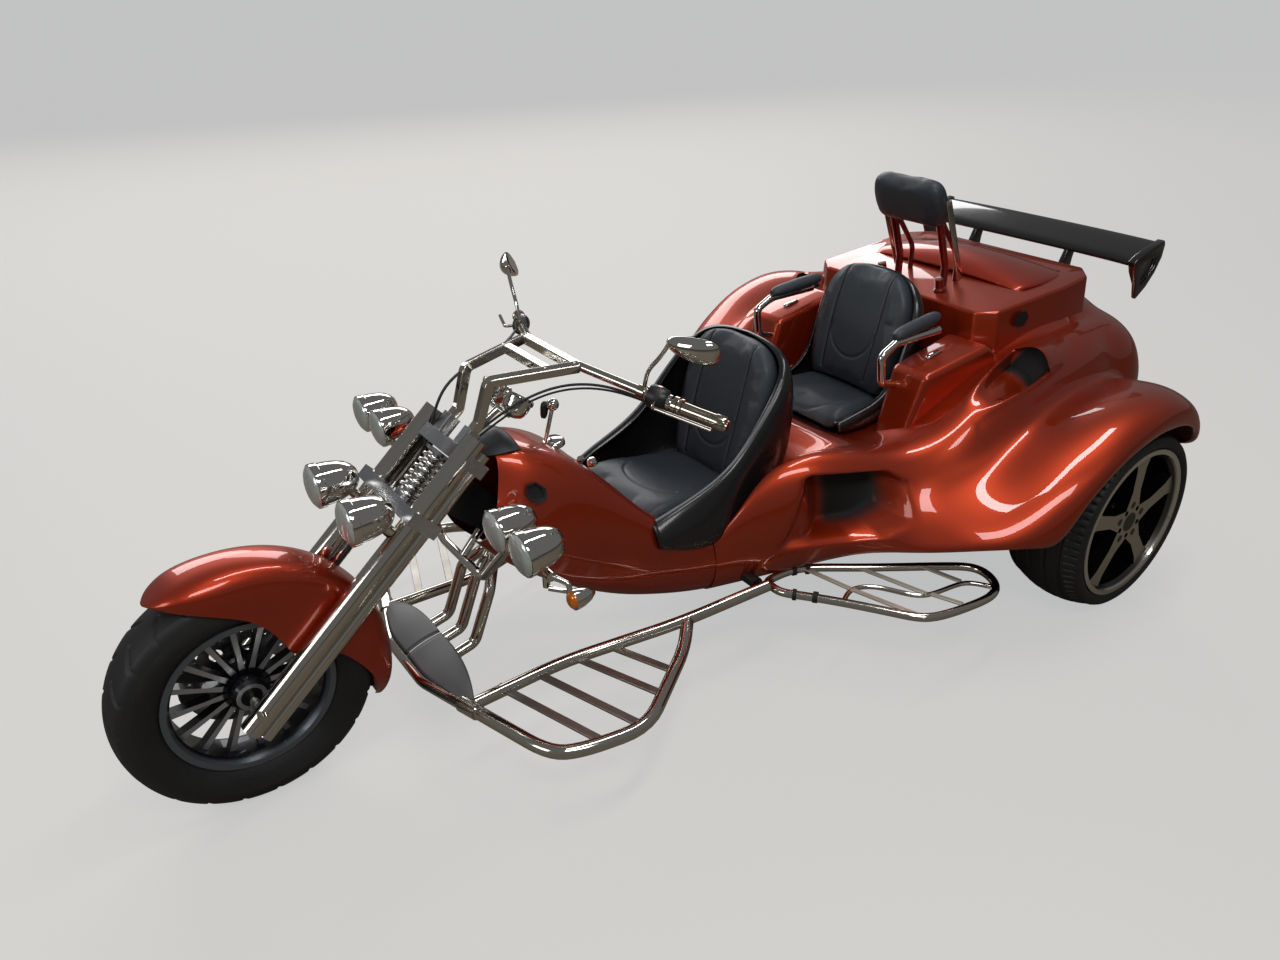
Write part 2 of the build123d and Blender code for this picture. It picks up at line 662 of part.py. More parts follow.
def headrest_tubes(extra):
    with BuildPart() as piece:
        for side in side_planes.values():
            for points, radius in post_lines:
                add(tube([at(x, side * post_y, z) for x, z in points], radius + extra, 60))
    return piece.part


with BuildPart() as headrest_posts:
    add(headrest_tubes(0))
with BuildPart() as headrest:
    add(rounded_plate([(214, 1150), (224, 1262), (186, 1298), (135, 1272), (112, 1160), (150, 1130)], -150, 150, 14, 10))
    add(headrest_tubes(seat_gap), mode=Mode.SUBTRACT)

# Tubes ahead of and beside the body
bow_half = 246.0
down_tube_start = 383.5
bow_front = behind_front(426)
bow_end = (behind_front(468), bow_half)
bow_corner = (bow_front, 110.0)
bow_run = (bow_end[0] - bow_corner[0], bow_end[1] - bow_corner[1])
bow_line = [bow_end, bow_corner, (bow_front, -110.0), (bow_end[0], -bow_half)]
with BuildPart() as front_bow_bar:
    add(tube([at(x, y, board_level) for x, y in bow_line], tube_radius, 120))
    for y in (-85, 0, 85):
        start_y = y * 0.38
        add(tube([under_backbone(down_tube_start, start_y, 0), under_backbone(down_tube_start, start_y, 58),
                  at(behind_front(662), y, 390), at(behind_front(600), y, 240), at(bow_front - 6, y, board_level)], 16, 35))

guard_line = bow_line + [(bow_front - 204, -300), (bow_front - 204, 300)]
with BuildPart() as splash_guard:
    with BuildSketch(Plane.XY.offset(board_level - 50)):
        with BuildLine():
            Polyline(*[at(x, y, 0) for x, y in guard_line], close=True)
        make_face()
        offset(amount=tube_radius + seat_gap + 5, kind=Kind.INTERSECTION)
        with BuildLine():
            Polyline(*[at(x, y, 0) for x, y in guard_line], close=True)
        inner = make_face(mode=Mode.PRIVATE)
        add(offset(inner, amount=tube_radius + seat_gap, kind=Kind.INTERSECTION, mode=Mode.PRIVATE), mode=Mode.SUBTRACT)
        with Locations((rear_axle_x + bow_front + 96, 0)):
            Rectangle(260, 2 * bow_half - 12, mode=Mode.INTERSECT)
        with Locations((rear_axle_x + bow_front, 0)):
            Rectangle(200, 8, mode=Mode.SUBTRACT)
    extrude(amount=75)

# Footboard loop, its inner rail, its slats and its clamp on the bow bar. Columns: station and Y, left side
board_reach = 2.28
rail_end = (1101.0, board_rail_y)
board_outer = [bow_end, (bow_end[0] + board_reach * bow_run[0], bow_end[1] + board_reach * bow_run[1]),
               (behind_front(634), 595), (behind_front(832), 629), (1445, 430), (1400, 372)]
board_inner = [(behind_front(480), 278), (behind_front(780), 268), (1400, 352), rail_end]
board_slats = [(behind_front(580), 255, behind_front(694), 606), (behind_front(688), 262, behind_front(806), 618),
               (behind_front(813), 276, behind_front(920), 552), (behind_front(924), 302, behind_front(1002), 488)]
board_clamp = [(bow_end[0] + share * bow_run[0], bow_end[1] + share * bow_run[1]) for share in (0.08, 0.5)]
passenger_front = rail_end[0] - 16.7
passenger_loop = [(passenger_front, 400), (passenger_front, 450), (1000, 600), (850, 800), (650, 842), (560, 800),
                  (545, 700), (640, 596), (930, 420), (1040, 366), (passenger_front, 366), (passenger_front, 399)]
passenger_bars = [(980, 440, 900, 720), (860, 470, 780, 808), (740, 540, 640, 838)]
passenger_level = 250.0


def footboard(side):
    with BuildPart() as piece:
        add(tube([at(x, side * y, board_level) for x, y in board_outer], tube_radius, 60))
        rise = [board_level, board_level, board_level + 30, board_tube_height]
        add(tube([at(x, side * y, z) for (x, y), z in zip(board_inner, rise)], tube_radius, 200))
        for x1, y1, x2, y2 in board_slats:
            add(tube([at(x1, side * y1, board_level), at(x2, side * y2, board_level)], 11))
        add(cylinder_between(*[at(x, side * y, board_level) for x, y in board_clamp], tube_radius + 4))
    return piece.part


def passenger_board(side):
    with BuildPart() as piece:
        add(tube([at(x, side * y, passenger_level) for x, y in passenger_loop], 13, 16))
        for x1, y1, x2, y2 in passenger_bars:
            add(tube([at(x1, side * y1, passenger_level), at(x2, side * y2, passenger_level)], 8))
    return piece.part


# Lamp bar in front of the down tubes, with its four lamps and two indicators
lamp_radius = 55.0
lamp_height = 750.0
lamp_ys = (-490.0, -362.0, 362.0, 490.0)
bar_radius = 12.5
bar_height = lamp_height - lamp_radius - bar_radius
bar_station, bar_dip = behind_front(628), 470.0
lamp_front, lamp_back = bar_station + 55, bar_station - 54
indicator_station = bar_station - 27
lamp_half_bar = [(bar_station, 520, bar_height), (bar_station, 330, bar_height), (bar_station, 130, bar_dip)]
stay_foot = ((bar_station - backbone_low[1][0]) * cos(backbone_tilt)
             + (bar_dip - backbone_low[1][1]) * sin(backbone_tilt))
with BuildPart() as lamp_bar:
    add(tube([at(x, y, z) for x, y, z in both_sides(lamp_half_bar)], bar_radius, 70))
    add(cylinder_between(at(bar_station, 0, bar_dip), under_backbone(stay_foot, 0, seat_gap), bar_radius - 1))
    for side in side_planes.values():
        add(tube([at(bar_station, side * 510, bar_height), at(indicator_station, side * 550, 668),
                  at(indicator_station, side * 550, 649.4)], 7, 6))


# A bullet lamp that looks forward: a revolved shell with a rim
def bullet_lamp(x_front, y, z, radius, length):
    with BuildPart() as piece:
        with BuildSketch(side_view(y)):
            with BuildLine():
                Polyline((x_front, z), (x_front, z + radius), (x_front - 16, z + radius), (x_front - 16, z + radius * 0.93))
                ThreePointArc((x_front - 16, z + radius * 0.93), (x_front - length * 0.72, z + radius * 0.66),
                              (x_front - length, z + radius * 0.12))
                Polyline((x_front - length, z + radius * 0.12), (x_front - length, z), (x_front, z))
            make_face()
        revolve(axis=Axis(at(x_front, y, z), (1, 0, 0)))
    return piece.part


with BuildPart() as driving_lamps:
    for y in lamp_ys:
        add(bullet_lamp(lamp_front, y, lamp_height, lamp_radius, lamp_front - lamp_back))
        add(cylinder_between(at(bar_station, y, bar_height + bar_radius + seat_gap), at(bar_station, y, lamp_height - 20), 8))
with BuildPart() as indicators:
    for side in side_planes.values():
        add(bullet_lamp(indicator_station + 30, side * 550, 625, 26, 62))

with BuildPart() as side_radiators:
    for side in side_planes.values():
        add(side_plate([(1000, 430), (950, 570), (800, 560), (720, 545), (700, 480), (715, 425)],
                       side * duct_floor_y, side * (duct_floor_y + 28)))
lever_station = 1610.0
with BuildPart() as gear_lever:
    add(cylinder_between(at(lever_station, 0, tank_top(lever_station) + 2.2),
                         at(lever_station - 30, 0, tank_top(lever_station) + 100), 6))
    with Locations(at(lever_station - 31, 0, tank_top(lever_station) + 106)):
        Sphere(18)

exhaust_radius = 45.0
exhaust_y = rail_y + rail_half_width + exhaust_radius + seat_gap
exhaust_height = 268.0
tail_pipe_radius = 28.0
tail_pipe_length = 90.0
with BuildPart() as exhausts:
    for side in side_planes.values():
        add(cylinder_between(at(-340, side * exhaust_y, exhaust_height),
                             at(tail_pipe_length - rear_overhang, side * exhaust_y, exhaust_height), exhaust_radius))
        add(cylinder_between(at(tail_pipe_length - rear_overhang + 5, side * exhaust_y, exhaust_height),
                             at(-rear_overhang, side * exhaust_y, exhaust_height), tail_pipe_radius))
tail_station = body_sections[-1][0]
with BuildPart() as tail_lamps:
    for side in side_planes.values():
        with BuildSketch(cross_view(tail_station)):
            with Locations((side * 350, 600)):
                Ellipse(56, 34)
        extrude(amount=-16)
with BuildPart() as number_plate:
    with BuildSketch(cross_view(tail_station)):
        with Locations((0, 565)):
            RectangleRounded(260, 130, 10)
    extrude(amount=-8)

# Fork: two pairs of tubes between two yokes
leg_half = leg_spread / 2
rear_tube_ahead = -leg_setback - leg_radius - rear_tube_radius + 1
with BuildPart() as fork_legs:
    for side in side_planes.values():
        with BuildSketch(fork_plane.offset(leg_bottom)):
            with Locations((-leg_setback, side * leg_half)):
                Circle(leg_radius)
        extrude(amount=leg_top - leg_bottom)
        with BuildSketch(fork_plane.offset(leg_bottom)):
            with Locations((rear_tube_ahead, side * leg_half)):
                Circle(rear_tube_radius)
        extrude(amount=leg_top - leg_bottom - 20)
    add(cylinder_between(at(wheelbase, -leg_half - 40, front_tyre_radius),
                         at(wheelbase, leg_half + 40, front_tyre_radius), axle_radius))

# Each yoke is a plate that narrows to the stem behind the legs. The upper one clamps them from behind.
lower_yoke_plan = [(24, leg_half + 40), (-84, leg_half + 24), (-stem_offset - 24, 24)]
upper_yoke_plan = [(10, leg_half - 46), (-14, leg_half - 36), (-22, leg_half + 40), (-84, leg_half + 24),
                   (-stem_offset - 24, 24)]
riser_ahead, riser_y = -32.0, 60.0
riser_clamp_top = 869.0
with BuildPart() as fork_yokes:
    for level, plan in ((lower_yoke_level, lower_yoke_plan), (upper_yoke_level, upper_yoke_plan)):
        with BuildSketch(fork_plane.offset(level)):
            with BuildLine():
                Polyline(*plan, *[(x, -y) for x, y in reversed(plan)], close=True)
            make_face()
            for side in side_planes.values():
                with Locations((-leg_setback, side * leg_half)):
                    Circle(leg_radius, mode=Mode.SUBTRACT)
                with Locations((rear_tube_ahead, side * leg_half)):
                    Circle(rear_tube_radius, mode=Mode.SUBTRACT)
        extrude(amount=yoke_thickness)
    with BuildSketch(fork_plane.offset(lower_yoke_level)):
        with Locations((-stem_offset, 0)):
            Circle(stem_radius)
    extrude(amount=upper_yoke_level - lower_yoke_level + yoke_thickness)
    with BuildSketch(fork_plane.offset(upper_yoke_level + yoke_thickness)):
        with Locations((riser_ahead, riser_y), (riser_ahead, -riser_y)):
            RectangleRounded(42, 40, 8)
    extrude(amount=riser_clamp_top - upper_yoke_level - yoke_thickness)

spring_low = lower_yoke_level + yoke_thickness
spring_high = upper_yoke_level
spring_ahead = -30.0
spring_radius = 36.0
spring_turns = 7
ring_height = 11.0
with BuildPart() as fork_spring:
    with BuildSketch(fork_plane.offset(spring_low)):
        with Locations((spring_ahead, 0)):
            Circle(14)
            Rectangle(8, 2 * spring_radius - 8)
    extrude(amount=spring_high - spring_low)
    for turn in range(spring_turns):
        level = spring_low + 1 + turn * (spring_high - spring_low - ring_height - 2) / (spring_turns - 1)
        with BuildSketch(fork_plane.offset(level)):
            with Locations((spring_ahead, 0)):
                Circle(spring_radius)
                Circle(spring_radius - 11, mode=Mode.SUBTRACT)
        extrude(amount=ring_height)

headlamp_front = behind_front(302)
headlamp_y = leg_half - 6
with BuildPart() as headlamps:
    for side in side_planes.values():
        add(bullet_lamp(headlamp_front, side * headlamp_y, 755, 57, 108))
        add(cylinder_between(on_fork(leg_radius - leg_setback + 1, side * (leg_half - 4), 545),
                             on_fork(80, side * (leg_half - 4), 545), 10))

# Handlebar: two square risers that lean back from the upper yoke, joined by two crossbars, and a round bar outside each.
# Columns: station, Y on the left side and height.
riser_feet = [fork_point(riser_ahead, riser_clamp_top + rise) for rise in (seat_gap, 24)]
riser_line = [(x, riser_y, z) for x, z in riser_feet] + [(behind_front(731), 65, 995), (behind_front(957), 141, 1006)]
riser_width = 26.0
crossbar_stations = (behind_front(880), behind_front(954))
bar_line = [(behind_front(962), 138, 1006), (behind_front(1044), 330, 970), (behind_front(1084), 400, 950),
            (behind_front(1143), 530, 926)]
switch_line = [(behind_front(1042), 326, 971), (behind_front(1077), 384, 955)]
lever_line = [(behind_front(1052), 352, 964), (behind_front(1018), 384, 958), (behind_front(1082), 540, 936)]


def left_or_right(points, side):
    return [at(x, side * y, z) for x, y, z in points]


with BuildPart() as handlebar:
    for side in side_planes.values():
        add(square_tube(left_or_right(riser_line, side), riser_width, 20))
        add(tube(left_or_right(bar_line, side), 13, 30))
        add(cylinder_between(*left_or_right(switch_line, side), 20))
        add(tube(left_or_right(lever_line, side), 5, 14))
    for station in crossbar_stations:
        start, end = riser_line[-2:]
        share = (start[0] - station) / (start[0] - end[0])
        y, height = (low + share * (high - low) for low, high in zip(start[1:], end[1:]))
        with BuildSketch(side_view(-y)):
            with Locations((station, height)):
                RectangleRounded(riser_width, riser_width, 4)
        extrude(amount=-2 * y)

with BuildPart() as grips:
    for side in side_planes.values():
        inner, outer = left_or_right(bar_line[2:], side)
        run = outer - inner
        add(cylinder_between(inner + run * 0.03, inner + run * 1.05, 18))
        add(cylinder_between(inner - run * 0.1, inner + run, 13 + seat_gap), mode=Mode.SUBTRACT)

mirror_line = [(behind_front(1036), 310, 988.3), (behind_front(1038), 310, 1036), (behind_front(1099), 360, 1100),
               (behind_front(1110), 410, 1114)]
mirror_middle = (behind_front(1112), 442, 1117)
with BuildPart() as mirrors:
    for side in side_planes.values():
        add(tube(left_or_right(mirror_line, side), 7, 20))
        x, y, z = mirror_middle
        with BuildSketch(cross_view(x - 20)):
            with Locations((side * y, z)):
                RectangleRounded(120, 80, 34)
        extrude(amount=42, taper=24)
with BuildPart() as gauges:
    gauge_x = behind_front(807)
    for side in side_planes.values():
        with Locations(Location(at(gauge_x, side * 60, 910), (0, -35, 0))):
            Cylinder(40, 46)
    add(cylinder_between(at(gauge_x + 22, -60, 887), at(gauge_x + 22, 60, 887), 9))
    add(tube([on_fork(-62, 0, upper_yoke_level + yoke_thickness + seat_gap), on_fork(-62, 0, 848),
              at(gauge_x + 22, 0, 887)], 9, 12))

# Front fender: an arched channel over the wheel, with a lug on each side that reaches down to the leg
fender_inner_radius = front_tyre_radius + 12
fender_half_width = 86.0
fender_wall = 4.0
fender_crest = 10.0
fender_span = (66.0, 143.0)
# The lug's outline, from the front axle
fender_lug = [(70, 294), (-26, 247), (-70, 201), (-96, 142), (-120, 88), (-146, 100), (-165, 160), (-206, 214), (-180, 270)]
with BuildPart() as front_fender:
    start = radians(fender_span[0])
    with BuildSketch(Plane(origin=at(wheelbase, 0, front_tyre_radius), x_dir=(0, 1, 0),
                           z_dir=(sin(start), 0, -cos(start)))):
        with BuildLine():
            outer_half, low_edge = fender_half_width + fender_wall, fender_inner_radius - 60
            outside = ThreePointArc((-outer_half, low_edge), (0, fender_inner_radius + fender_crest + fender_wall),
                                    (outer_half, low_edge))
            inside = ThreePointArc((-fender_half_width, low_edge), (0, fender_inner_radius + fender_crest),
                                   (fender_half_width, low_edge))
            Line(outside @ 0, inside @ 0)
            Line(outside @ 1, inside @ 1)
        make_face()
    revolve(axis=Axis(at(wheelbase, 0, front_tyre_radius), (0, -1, 0)), revolution_arc=fender_span[1])
    for side in side_planes.values():
        add(side_plate([(wheelbase + x, front_tyre_radius + z) for x, z in fender_lug],
                       side * fender_half_width, side * (fender_half_width + fender_wall)))
        for level in (150, 305):
            add(cylinder_between(on_fork(-leg_setback, side * (fender_half_width + 1), level),
                                 on_fork(-leg_setback, side * (leg_half - leg_radius - seat_gap), level), 12))

with BuildPart() as brake_caliper:
    with BuildSketch(side_view(-50)):
        with Locations((wheelbase + 118, front_tyre_radius + 10)):
            RectangleRounded(64, 110, 16)
    extrude(amount=42)
    with BuildSketch(side_view(disc_side_y + 3)):
        with Locations((wheelbase, front_tyre_radius)):
            Circle(disc_radius + 4)
    extrude(amount=disc_thickness + 6, mode=Mode.SUBTRACT)
    add(side_plate([(wheelbase + 150, front_tyre_radius + 40), (wheelbase + 100, front_tyre_radius + 60),
                    (wheelbase - 10, front_tyre_radius + 20), (wheelbase - 10, front_tyre_radius - 25),
                    (wheelbase + 150, front_tyre_radius - 40)], -88, -94.5))
    add(cylinder_between(at(wheelbase, -80, front_tyre_radius), at(wheelbase, -100, front_tyre_radius),
                         axle_radius + running_gap), mode=Mode.SUBTRACT)

pieces = {
    "main_frame": main_frame.part, "front_bow_bar": front_bow_bar.part, "splash_guard": splash_guard.part,
    "left_footboard": footboard(1), "right_footboard": footboard(-1),
    "left_passenger_board": passenger_board(1), "right_passenger_board": passenger_board(-1),
    "lamp_bar": lamp_bar.part, "driving_lamps": driving_lamps.part, "indicators": indicators.part,
    "tank_shell": tank_shell.part, "body_shell": body_shell.part, "boot_lid": boot_lid.part,
    "rear_wing": rear_wing.part, "side_radiators": side_radiators.part, "gear_lever": gear_lever.part,
    "driver_seat": driver_seat.part, "passenger_seat": passenger_seat.part,
    "armrest_tubes": armrest_tubes.part, "armrests": armrests.part,
    "headrest_posts": headrest_posts.part, "headrest": headrest.part,
    "engine_block": engine_block.part, "trailing_arms": trailing_arms.part,
    "shock_absorbers": shock_absorbers.part, "exhausts": exhausts.part, "tail_lamps": tail_lamps.part,
    "number_plate": number_plate.part,
    "fork_legs": fork_legs.part, "fork_yokes": fork_yokes.part, "fork_spring": fork_spring.part,
    "headlamps": headlamps.part, "handlebar": handlebar.part, "grips": grips.part, "mirrors": mirrors.part,
    "gauges": gauges.part, "front_fender": front_fender.part, "brake_caliper": brake_caliper.part,
    "front_tyre": front_tyre.part, "front_rim": front_rim.part, "brake_disc": brake_disc.part,
    "left_rear_tyre": rear_wheels["left"][0], "left_rear_rim": rear_wheels["left"][1],
    "right_rear_tyre": rear_wheels["right"][0], "right_rear_rim": rear_wheels["right"][1],
}

os.makedirs("parts", exist_ok=True)
for name, piece in pieces.items():
    piece.label = name
    export_step(piece, "parts/" + name + ".step")
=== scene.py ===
import math

import bmesh
import bpy
import numpy as np
from mathutils import Matrix, Vector, bvhtree, geometry


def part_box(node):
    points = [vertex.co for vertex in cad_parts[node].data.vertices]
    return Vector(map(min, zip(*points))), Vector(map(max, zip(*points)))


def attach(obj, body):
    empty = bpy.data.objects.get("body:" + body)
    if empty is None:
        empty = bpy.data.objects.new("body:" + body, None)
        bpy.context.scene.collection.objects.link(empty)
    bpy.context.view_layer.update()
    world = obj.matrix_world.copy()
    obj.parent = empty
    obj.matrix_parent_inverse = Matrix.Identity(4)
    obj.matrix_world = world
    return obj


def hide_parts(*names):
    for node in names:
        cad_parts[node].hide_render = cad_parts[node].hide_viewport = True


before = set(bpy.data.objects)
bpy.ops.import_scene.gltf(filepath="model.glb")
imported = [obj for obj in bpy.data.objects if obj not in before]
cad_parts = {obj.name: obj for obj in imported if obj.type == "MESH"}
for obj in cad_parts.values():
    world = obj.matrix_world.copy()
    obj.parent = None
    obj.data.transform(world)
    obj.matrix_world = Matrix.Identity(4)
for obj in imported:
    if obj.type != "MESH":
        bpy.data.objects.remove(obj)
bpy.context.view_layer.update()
print("trike: frame loaded,", len(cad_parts), "nodes")


# View of the photograph, in the frame's metres
cameraSettings = {
    "place": (1.7118, 2.2129, 1.9643),
    "yaw": -124.592,
    "down": 28.32,
    "roll": -1.3045,
    "lens": 27.71,
    "sensor": 36,
}


stageSettings = {
    "floorSize": 180,
    "floorColour": (.2, .173, .135),
    "floorRough": .62,
    "floorShine": .3,
    "floorLift": (.5, .505, .51),
    "worldColour": (.56, .565, .57),
    "worldLight": .25,
    "lamps": [
        # name, place, aim, size, power
        ("keyLight", (1.5, 3.2, 4.2), (0, 0, .4), (2.2, 1), 56),
        ("windowLight", (-3, -9.5, 5.4), (0, 0, .4), (13, 3.8), 620),
        ("topStrip", (-.6, .6, 4.6), (-.4, 0, 0), (3.4, .35), 55),
        ("noseLight", (4.6, .6, 2.4), (.6, 0, .4), (1.6, 1.6), 28),
    ],
}


def makeCamera(settings):
    yaw, down, roll = (math.radians(settings[k]) for k in ("yaw", "down", "roll"))
    forward = Vector((math.cos(yaw) * math.cos(down), math.sin(yaw) * math.cos(down), -math.sin(down)))
    right = Vector((math.sin(yaw), -math.cos(yaw), 0.0))
    up = right.cross(forward)
    sideways = right * math.cos(roll) + up * math.sin(roll)
    upward = up * math.cos(roll) - right * math.sin(roll)
    turn = Matrix((sideways, upward, -forward)).transposed().to_4x4()
    data = bpy.data.cameras.new("photoView")
    data.lens = settings["lens"]
    data.sensor_width = settings["sensor"]
    data.sensor_fit = "HORIZONTAL"
    camera = bpy.data.objects.new("photoView", data)
    camera.matrix_world = Matrix.Translation(settings["place"]) @ turn
    bpy.context.scene.collection.objects.link(camera)
    bpy.context.scene.camera = camera


makeCamera(cameraSettings)


# Shader maths: a socket that adds Math nodes when it is used in an expression
class Value:
    def __init__(self, shader, socket):
        self.shader = shader
        self.socket = socket

    def maths(self, operation, *values):
        return self.shader.node("ShaderNodeMath", {"operation": operation}, dict(enumerate(values)))

    def __add__(self, other):
        return self.maths("ADD", self, other)

    def __sub__(self, other):
        return self.maths("SUBTRACT", self, other)

    def __rsub__(self, other):
        return self.maths("SUBTRACT", other, self)

    def __mul__(self, other):
        return self.maths("MULTIPLY", self, other)

    def __pow__(self, other):
        return self.maths("POWER", self, other)

    def __rpow__(self, other):
        return self.maths("POWER", other, self)

    __radd__ = __add__
    __rmul__ = __mul__

    def absolute(self):
        return self.maths("ABSOLUTE", self)

    def fraction(self):
        return self.maths("FRACT", self)

    def highest(self, other):
        return self.maths("MAXIMUM", self, other)

    def hypotenuse(self, other):
        return (self * self + other * other) ** 0.5

    def above(self, level, softness):
        return self.shader.node("ShaderNodeMapRange", {"interpolation_type": "SMOOTHSTEP"}, {
            "Value": self, "From Min": level - softness, "From Max": level + softness})

    def below(self, level, softness):
        return 1.0 - self.above(level, softness)

    def near(self, level, reach, softness):
        return (self - level).absolute().below(reach, softness)


# The nodes of a new material, or of the tree that is given
class Shader:
    def __init__(self, name=None, tree=None):
        if tree is None:
            self.material = bpy.data.materials.new(name)
            self.material.use_nodes = True
            tree = self.material.node_tree
        self.tree = tree
        self.tree.nodes.clear()

    def node(self, kind, settings=None, sockets=None, output=0):
        made = self.tree.nodes.new(kind)
        for name, setting in (settings or {}).items():
            setattr(made, name, setting)
        for name, value in (sockets or {}).items():
            socket = made.inputs[name]
            if isinstance(value, Value):
                self.tree.links.new(value.socket, socket)
            elif socket.type == "RGBA":
                socket.default_value = (*value, 1.0)
            else:
                socket.default_value = value
        return Value(self, made.outputs[output]) if made.outputs else None

    def place(self):
        return self.node("ShaderNodeTexCoord", output="Object")

    def noise(self, scale, detail=3.0, rough=0.5):
        return self.node("ShaderNodeTexNoise", {}, {
            "Vector": self.place(), "Scale": scale, "Detail": detail, "Roughness": rough})

    def cells(self, scale, feature="F1", output="Distance"):
        return self.node("ShaderNodeTexVoronoi", {"feature": feature}, {
            "Vector": self.place(), "Scale": scale}, output)

    def parts(self, vector):
        first = self.node("ShaderNodeSeparateXYZ", {}, {0: vector})
        return [Value(self, socket) for socket in first.socket.node.outputs]

    def aboutAxle(self, centre):
        # Distances from a wheel's axle, forward and up
        moved = self.node("ShaderNodeVectorMath", {"operation": "SUBTRACT"},
                          {0: self.place(), 1: tuple(centre)})
        parts = self.parts(moved)
        return parts[0], parts[2]

    def facing(self, level, softness):
        # Where the surface faces left or right
        normal = self.node("ShaderNodeTexCoord", output="Normal")
        return self.parts(normal)[1].absolute().above(level, softness)

    def mix(self, factor, first, second):
        # Sockets 6 and 7 are the two colours, and output 2 is the mixed one
        return self.node("ShaderNodeMix", {"data_type": "RGBA"}, {0: factor, 6: first, 7: second}, 2)

    def bump(self, height, distance, strength=1.0):
        return self.node("ShaderNodeBump", {}, {"Height": height, "Distance": distance,
                                                "Strength": strength})

    def finish(self, **sockets):
        names = {key.replace("_", " "): value for key, value in sockets.items()}
        surface = self.node("ShaderNodeBsdfPrincipled", {}, names)
        self.node("ShaderNodeOutputMaterial", {}, {"Surface": surface})
        return self.material


def aim(place, target):
    return (Vector(target) - Vector(place)).to_track_quat("-Z", "Y").to_matrix().to_4x4()


def makeStage(settings):
    half = settings["floorSize"] / 2
    corners = [(-half, -half, 0), (half, -half, 0), (half, half, 0), (-half, half, 0)]
    mesh = bpy.data.meshes.new("floor")
    mesh.from_pydata(corners, [], [(0, 1, 2, 3)])
    floor = bpy.data.objects.new("floor", mesh)
    bpy.context.scene.collection.objects.link(floor)
    paint = Shader("floorPaint")
    seen = paint.node("ShaderNodeLightPath", output="Is Camera Ray")
    lift = paint.mix(seen, (0.0, 0.0, 0.0), settings["floorLift"])
    mesh.materials.append(paint.finish(
        Base_Color=settings["floorColour"], Roughness=settings["floorRough"],
        Specular_IOR_Level=settings["floorShine"], Emission_Color=lift, Emission_Strength=1.0))

    world = bpy.data.worlds.new("room")
    bpy.context.scene.world = world
    world.use_nodes = True
    air = Shader(tree=world.node_tree)
    seen = air.node("ShaderNodeLightPath", output="Is Camera Ray")
    strength = seen * (1.0 - settings["worldLight"]) + settings["worldLight"]
    glow = air.node("ShaderNodeBackground", {}, {"Color": settings["worldColour"], "Strength": strength})
    air.node("ShaderNodeOutputWorld", {}, {"Surface": glow})

    for name, place, target, size, power in settings["lamps"]:
        data = bpy.data.lights.new(name, "AREA")
        data.shape = "RECTANGLE"
        data.size, data.size_y = size
        data.energy = power
        lamp = bpy.data.objects.new(name, data)
        lamp.matrix_world = Matrix.Translation(place) @ aim(place, target)
        bpy.context.scene.collection.objects.link(lamp)
    bpy.context.scene.view_settings.view_transform = "Standard"


makeStage(stageSettings)
print("trike: stage and camera")


carPaintLook = {
    "flakeScale": 2600, "flakeMix": .1, "flakeDepth": .00004,
    "cloudScale": 3,
    "metallic": .75, "rough": .4, "coatRough": .03,
    # Colour and roughness of the painted shade in the openings
    "paintedShadeColour": (.002, .002, .002), "paintedShadeRough": .7,
}


def carPaint(name, base, shade):
    # The mesh's own shade attribute is painted shade: it blackens the openings
    look = carPaintLook
    paint = Shader(name)
    paintedShade = paint.node("ShaderNodeAttribute", {"attribute_name": "shade"}, {}, "Fac")
    fleck = paint.mix(look["flakeMix"], (0.5, 0.5, 0.5), paint.cells(look["flakeScale"], output="Color"))
    cloud = paint.noise(look["cloudScale"], 2.0)
    colour = paint.mix(cloud.above(0.5, 0.3), shade, base)
    return paint.finish(
        Base_Color=paint.mix(paintedShade, colour, look["paintedShadeColour"]),
        Metallic=look["metallic"] - paintedShade * look["metallic"],
        Roughness=paintedShade * (look["paintedShadeRough"] - look["rough"]) + look["rough"],
        Coat_Weight=1.0 - paintedShade, Coat_Roughness=look["coatRough"],
        Normal=paint.bump(fleck, look["flakeDepth"], 0.5))


def chromeMetal(name, base, rough, grain=0.0):
    metal = Shader(name)
    smudge = metal.noise(14.0, 4.0, 0.6)
    return metal.finish(
        Base_Color=base, Metallic=1.0, Roughness=smudge * (rough * 0.8) + rough * 0.5,
        Normal=metal.bump(metal.noise(30.0, 2.0), 0.0006 * grain, 0.5))


def plainSurface(name, base, rough, metallic=0.0, coat=0.0, grainScale=0.0, grainDepth=0.0):
    # Base colour and roughness vary a little over the surface
    vary, roughVary = 0.12, 0.05
    made = Shader(name)
    patch = made.noise(9.0, 4.0, 0.6)
    dark = tuple(c * (1.0 - vary) for c in base)
    light = tuple(min(c * (1.0 + vary), 1.0) for c in base)
    sockets = {
        "Base_Color": made.mix(patch, dark, light), "Metallic": metallic, "Coat_Weight": coat,
        "Roughness": patch * (2 * roughVary) + (rough - roughVary)}
    if grainScale:
        sockets["Normal"] = made.bump(made.noise(grainScale, 4.0, 0.6), grainDepth, 0.6)
    return made.finish(**sockets)


def leather(name, base, rough):
    poreScale, poreDepth, wearScale = 420.0, 0.0004, 7.0
    hide = Shader(name)
    pores = hide.cells(poreScale, "DISTANCE_TO_EDGE").above(0.05, 0.05)
    wear = hide.noise(wearScale, 3.0)
    colour = hide.mix(wear, base, tuple(c * 1.5 for c in base))
    return hide.finish(
        Base_Color=colour, Roughness=wear * 0.12 + (rough - 0.06), Specular_IOR_Level=0.5,
        Normal=hide.bump(pores, poreDepth, 0.5))


